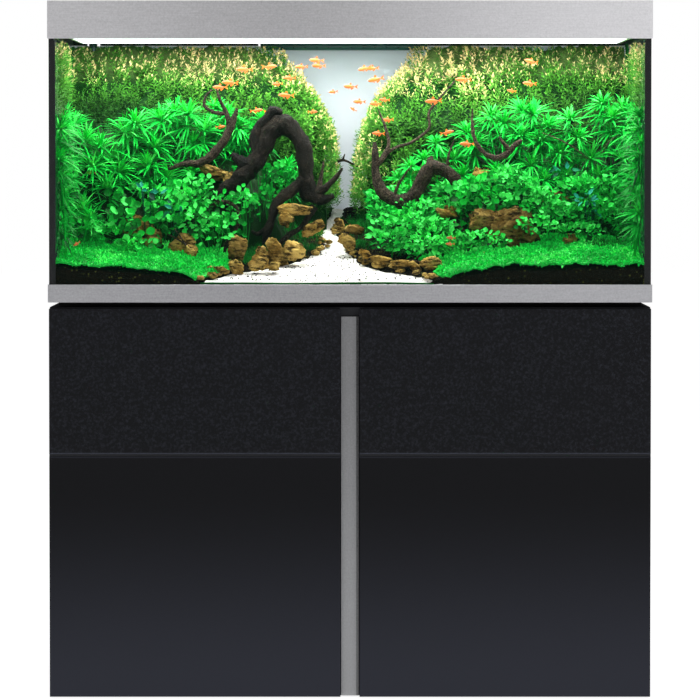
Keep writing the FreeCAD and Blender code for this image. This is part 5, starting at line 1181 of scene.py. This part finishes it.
def placed(shape, fish):
    # local shape: nose towards +X; turned by pitch, then heading, then moved
    shape = shape * fish[:, 3][:, None, None, None]
    a, b = np.radians(fish[:, 4])[:, None, None], np.radians(fish[:, 5])[:, None, None]
    x = shape[..., 0] * np.cos(b) - shape[..., 2] * np.sin(b)
    z = shape[..., 0] * np.sin(b) + shape[..., 2] * np.cos(b)
    y = shape[..., 1]
    turned = np.stack([x * np.cos(a) - y * np.sin(a), x * np.sin(a) + y * np.cos(a), z], -1)
    return turned + fish[:, None, None, :3]


def makeFish():
    # ring(t) = ellipse of half width and half height at t; each fin is a four-cornered blend
    fish = np.array(school)
    many, stations, around = len(fish), 16, 14
    t = np.linspace(0, 1, stations)
    # half height and half width along the body, from the nose
    tall = np.interp(t, [0, 0.05, 0.2, 0.42, 0.62, 0.84, 1], [0.0, 0.05, 0.115, 0.145, 0.11, 0.045, 0.0])
    wide = np.interp(t, [0, 0.05, 0.2, 0.42, 0.7, 0.84, 1], [0.0, 0.03, 0.06, 0.066, 0.04, 0.018, 0.0])
    turn = np.linspace(0, 2 * np.pi, around, endpoint=False)
    body = np.stack([np.repeat((0.45 - 0.82 * t)[:, None], around, 1), wide[:, None] * np.cos(turn),
                     tall[:, None] * np.sin(turn)], -1)
    tint = np.broadcast_to((np.sin(turn) * 0.5 + 0.5)[None, None], (many, stations, around))
    bodies = placed(np.repeat(body[None], many, 0), fish)
    patches = [grid(bodies, wrap=True, tint=tint, along=t[None, :, None])]
    for rows, corner in (
            (6, [(-0.33, 0.0, 0.03), (-0.33, 0.0, -0.03), (-0.56, 0.0, 0.15), (-0.55, 0.0, -0.15)]),
            (4, [(0.06, 0.0, 0.12), (-0.1, 0.0, 0.105), (-0.02, 0.0, 0.27), (-0.11, 0.0, 0.2)]),
            (4, [(-0.04, 0.0, -0.12), (-0.25, 0.0, -0.05), (-0.09, 0.0, -0.24), (-0.26, 0.0, -0.11)]),
            (4, [(0.16, 0.02, -0.1), (0.09, 0.02, -0.125), (0.1, 0.04, -0.2), (0.06, 0.04, -0.19)])):
        a, b, c, d = (np.array(v) for v in corner)
        u, v = np.linspace(0, 1, rows)[:, None, None], np.linspace(0, 1, 5)[None, :, None]
        notch = np.array([0.09, 0, 0]) * (1 - np.abs(v - 0.5) * 2) * (rows == 6)
        fin = (a * (1 - v) + b * v) * (1 - u) + (c * (1 - v) + d * v + notch) * u
        patches.append(grid(placed(np.repeat(fin[None], many, 0), fish), tint=0.5))
    addPiece("fishSchool", patches, fishPaint(), replaces=["fish"])
    eyes = []
    for side in (-1, 1):
        eye = ball(6, 8) * [0.024, 0.012, 0.024] + [0.34, side * 0.048, 0.02]
        eyes.append(grid(placed(np.repeat(eye[None], many, 0), fish), wrap=True))
    addPiece("fishEyes", eyes, flat("fishEye", (0.01, 0.008, 0.006), 0.15))


makeFish()


water = {"halfWidth": 0.5474, "halfDepth": 0.2574, "level": 1.2234, "ripple": 0.0003}


def makeWater():
    # height(x, y) = level + slight noise
    x, y = np.meshgrid(np.linspace(-water["halfWidth"], water["halfWidth"], 90),
                       np.linspace(-water["halfDepth"], water["halfDepth"], 50))
    spot = flatSpot(x, y)
    z = water["level"] + sway(spot, 60, 51) * water["ripple"]
    paint = flat("waterClear", (0.5, 0.75, 0.75), 0.05, 0.0, 0.1, Alpha=0.03)
    addPiece("waterSurface", [grid(np.stack([x, y, z], -1)[None])], paint)


makeWater()


def softbox(name, spot, aim, size, power, colour=(1, 1, 1), body=None):
    data = bpy.data.lights.new(name, "AREA")
    data.shape, data.size, data.size_y, data.energy, data.color = "RECTANGLE", *size, power, colour
    lamp = bpy.data.objects.new(name, data)
    scene.collection.objects.link(lamp)
    lamp.location = spot
    lamp.rotation_euler = (Vector(aim) - Vector(spot)).to_track_quat("-Z", "Y").to_euler()
    if body:
        lamp.parent = frame["bodies"][body]
    return lamp


studio = {"tank": 9.5, "key": 50.0, "fill": 22.0, "top": 30.0}
softbox("tankLight", (0, -0.06, 1.2245), (0, -0.06, 0), (1.04, 0.34), studio["tank"], (1.0, 0.99, 0.95),
        "hood")
softbox("keyLight", (2.6, -3.8, 2.8), (0.1, -0.2, 0.7), (2.2, 2.2), studio["key"])
softbox("fillLight", (-3.0, -3.4, 2.0), (-0.1, -0.2, 0.7), (2.4, 2.4), studio["fill"])
softbox("topLight", (0.0, 0.2, 4.2), (0.0, 0.0, 1.0), (3.0, 2.0), studio["top"])

world = bpy.data.worlds.new("studioWorld")
scene.world = world
world.use_nodes = True
tree = world.node_tree
ground = tree.nodes["Background"]
seen = tree.nodes.new("ShaderNodeLightPath")
strength = tree.nodes.new("ShaderNodeMix")
tree.links.new(seen.outputs["Is Camera Ray"], strength.inputs[0])
strength.inputs[2].default_value, strength.inputs[3].default_value = 0.22, 1.0
tree.links.new(strength.outputs[0], ground.inputs["Strength"])
ground.inputs["Color"].default_value = (1, 1, 1, 1)

floorMesh = bpy.data.meshes.new("floor")
corners = [(-30, -30), (30, -30), (30, 30), (-30, 30)]
floorMesh.from_pydata([(x, y, -0.0003) for x, y in corners], [], [(0, 1, 2, 3)])
floorThing = bpy.data.objects.new("floor", floorMesh)
scene.collection.objects.link(floorThing)
floorMesh.materials.append(flat("floorPale", (0.5, 0.5, 0.5), 0.9, 0.0, 0.0,
                                Emission_Color=(1, 1, 1, 1), Emission_Strength=0.9).material)

view = {"spot": (0.0, -8.27, 1.0), "tiltDown": 2.08, "lens": 222.2, "shiftY": -0.0471}
camera = bpy.data.objects.new("camera", bpy.data.cameras.new("camera"))
scene.collection.objects.link(camera)
camera.location = view["spot"]
camera.rotation_euler = (math.radians(90 - view["tiltDown"]), 0, 0)
camera.data.lens, camera.data.sensor_width = view["lens"], 36.0
camera.data.shift_y, camera.data.shift_x = view["shiftY"], 0.0
camera.data.clip_end = 200
scene.camera = camera
scene.view_settings.view_transform = "Standard"
print("studio set")
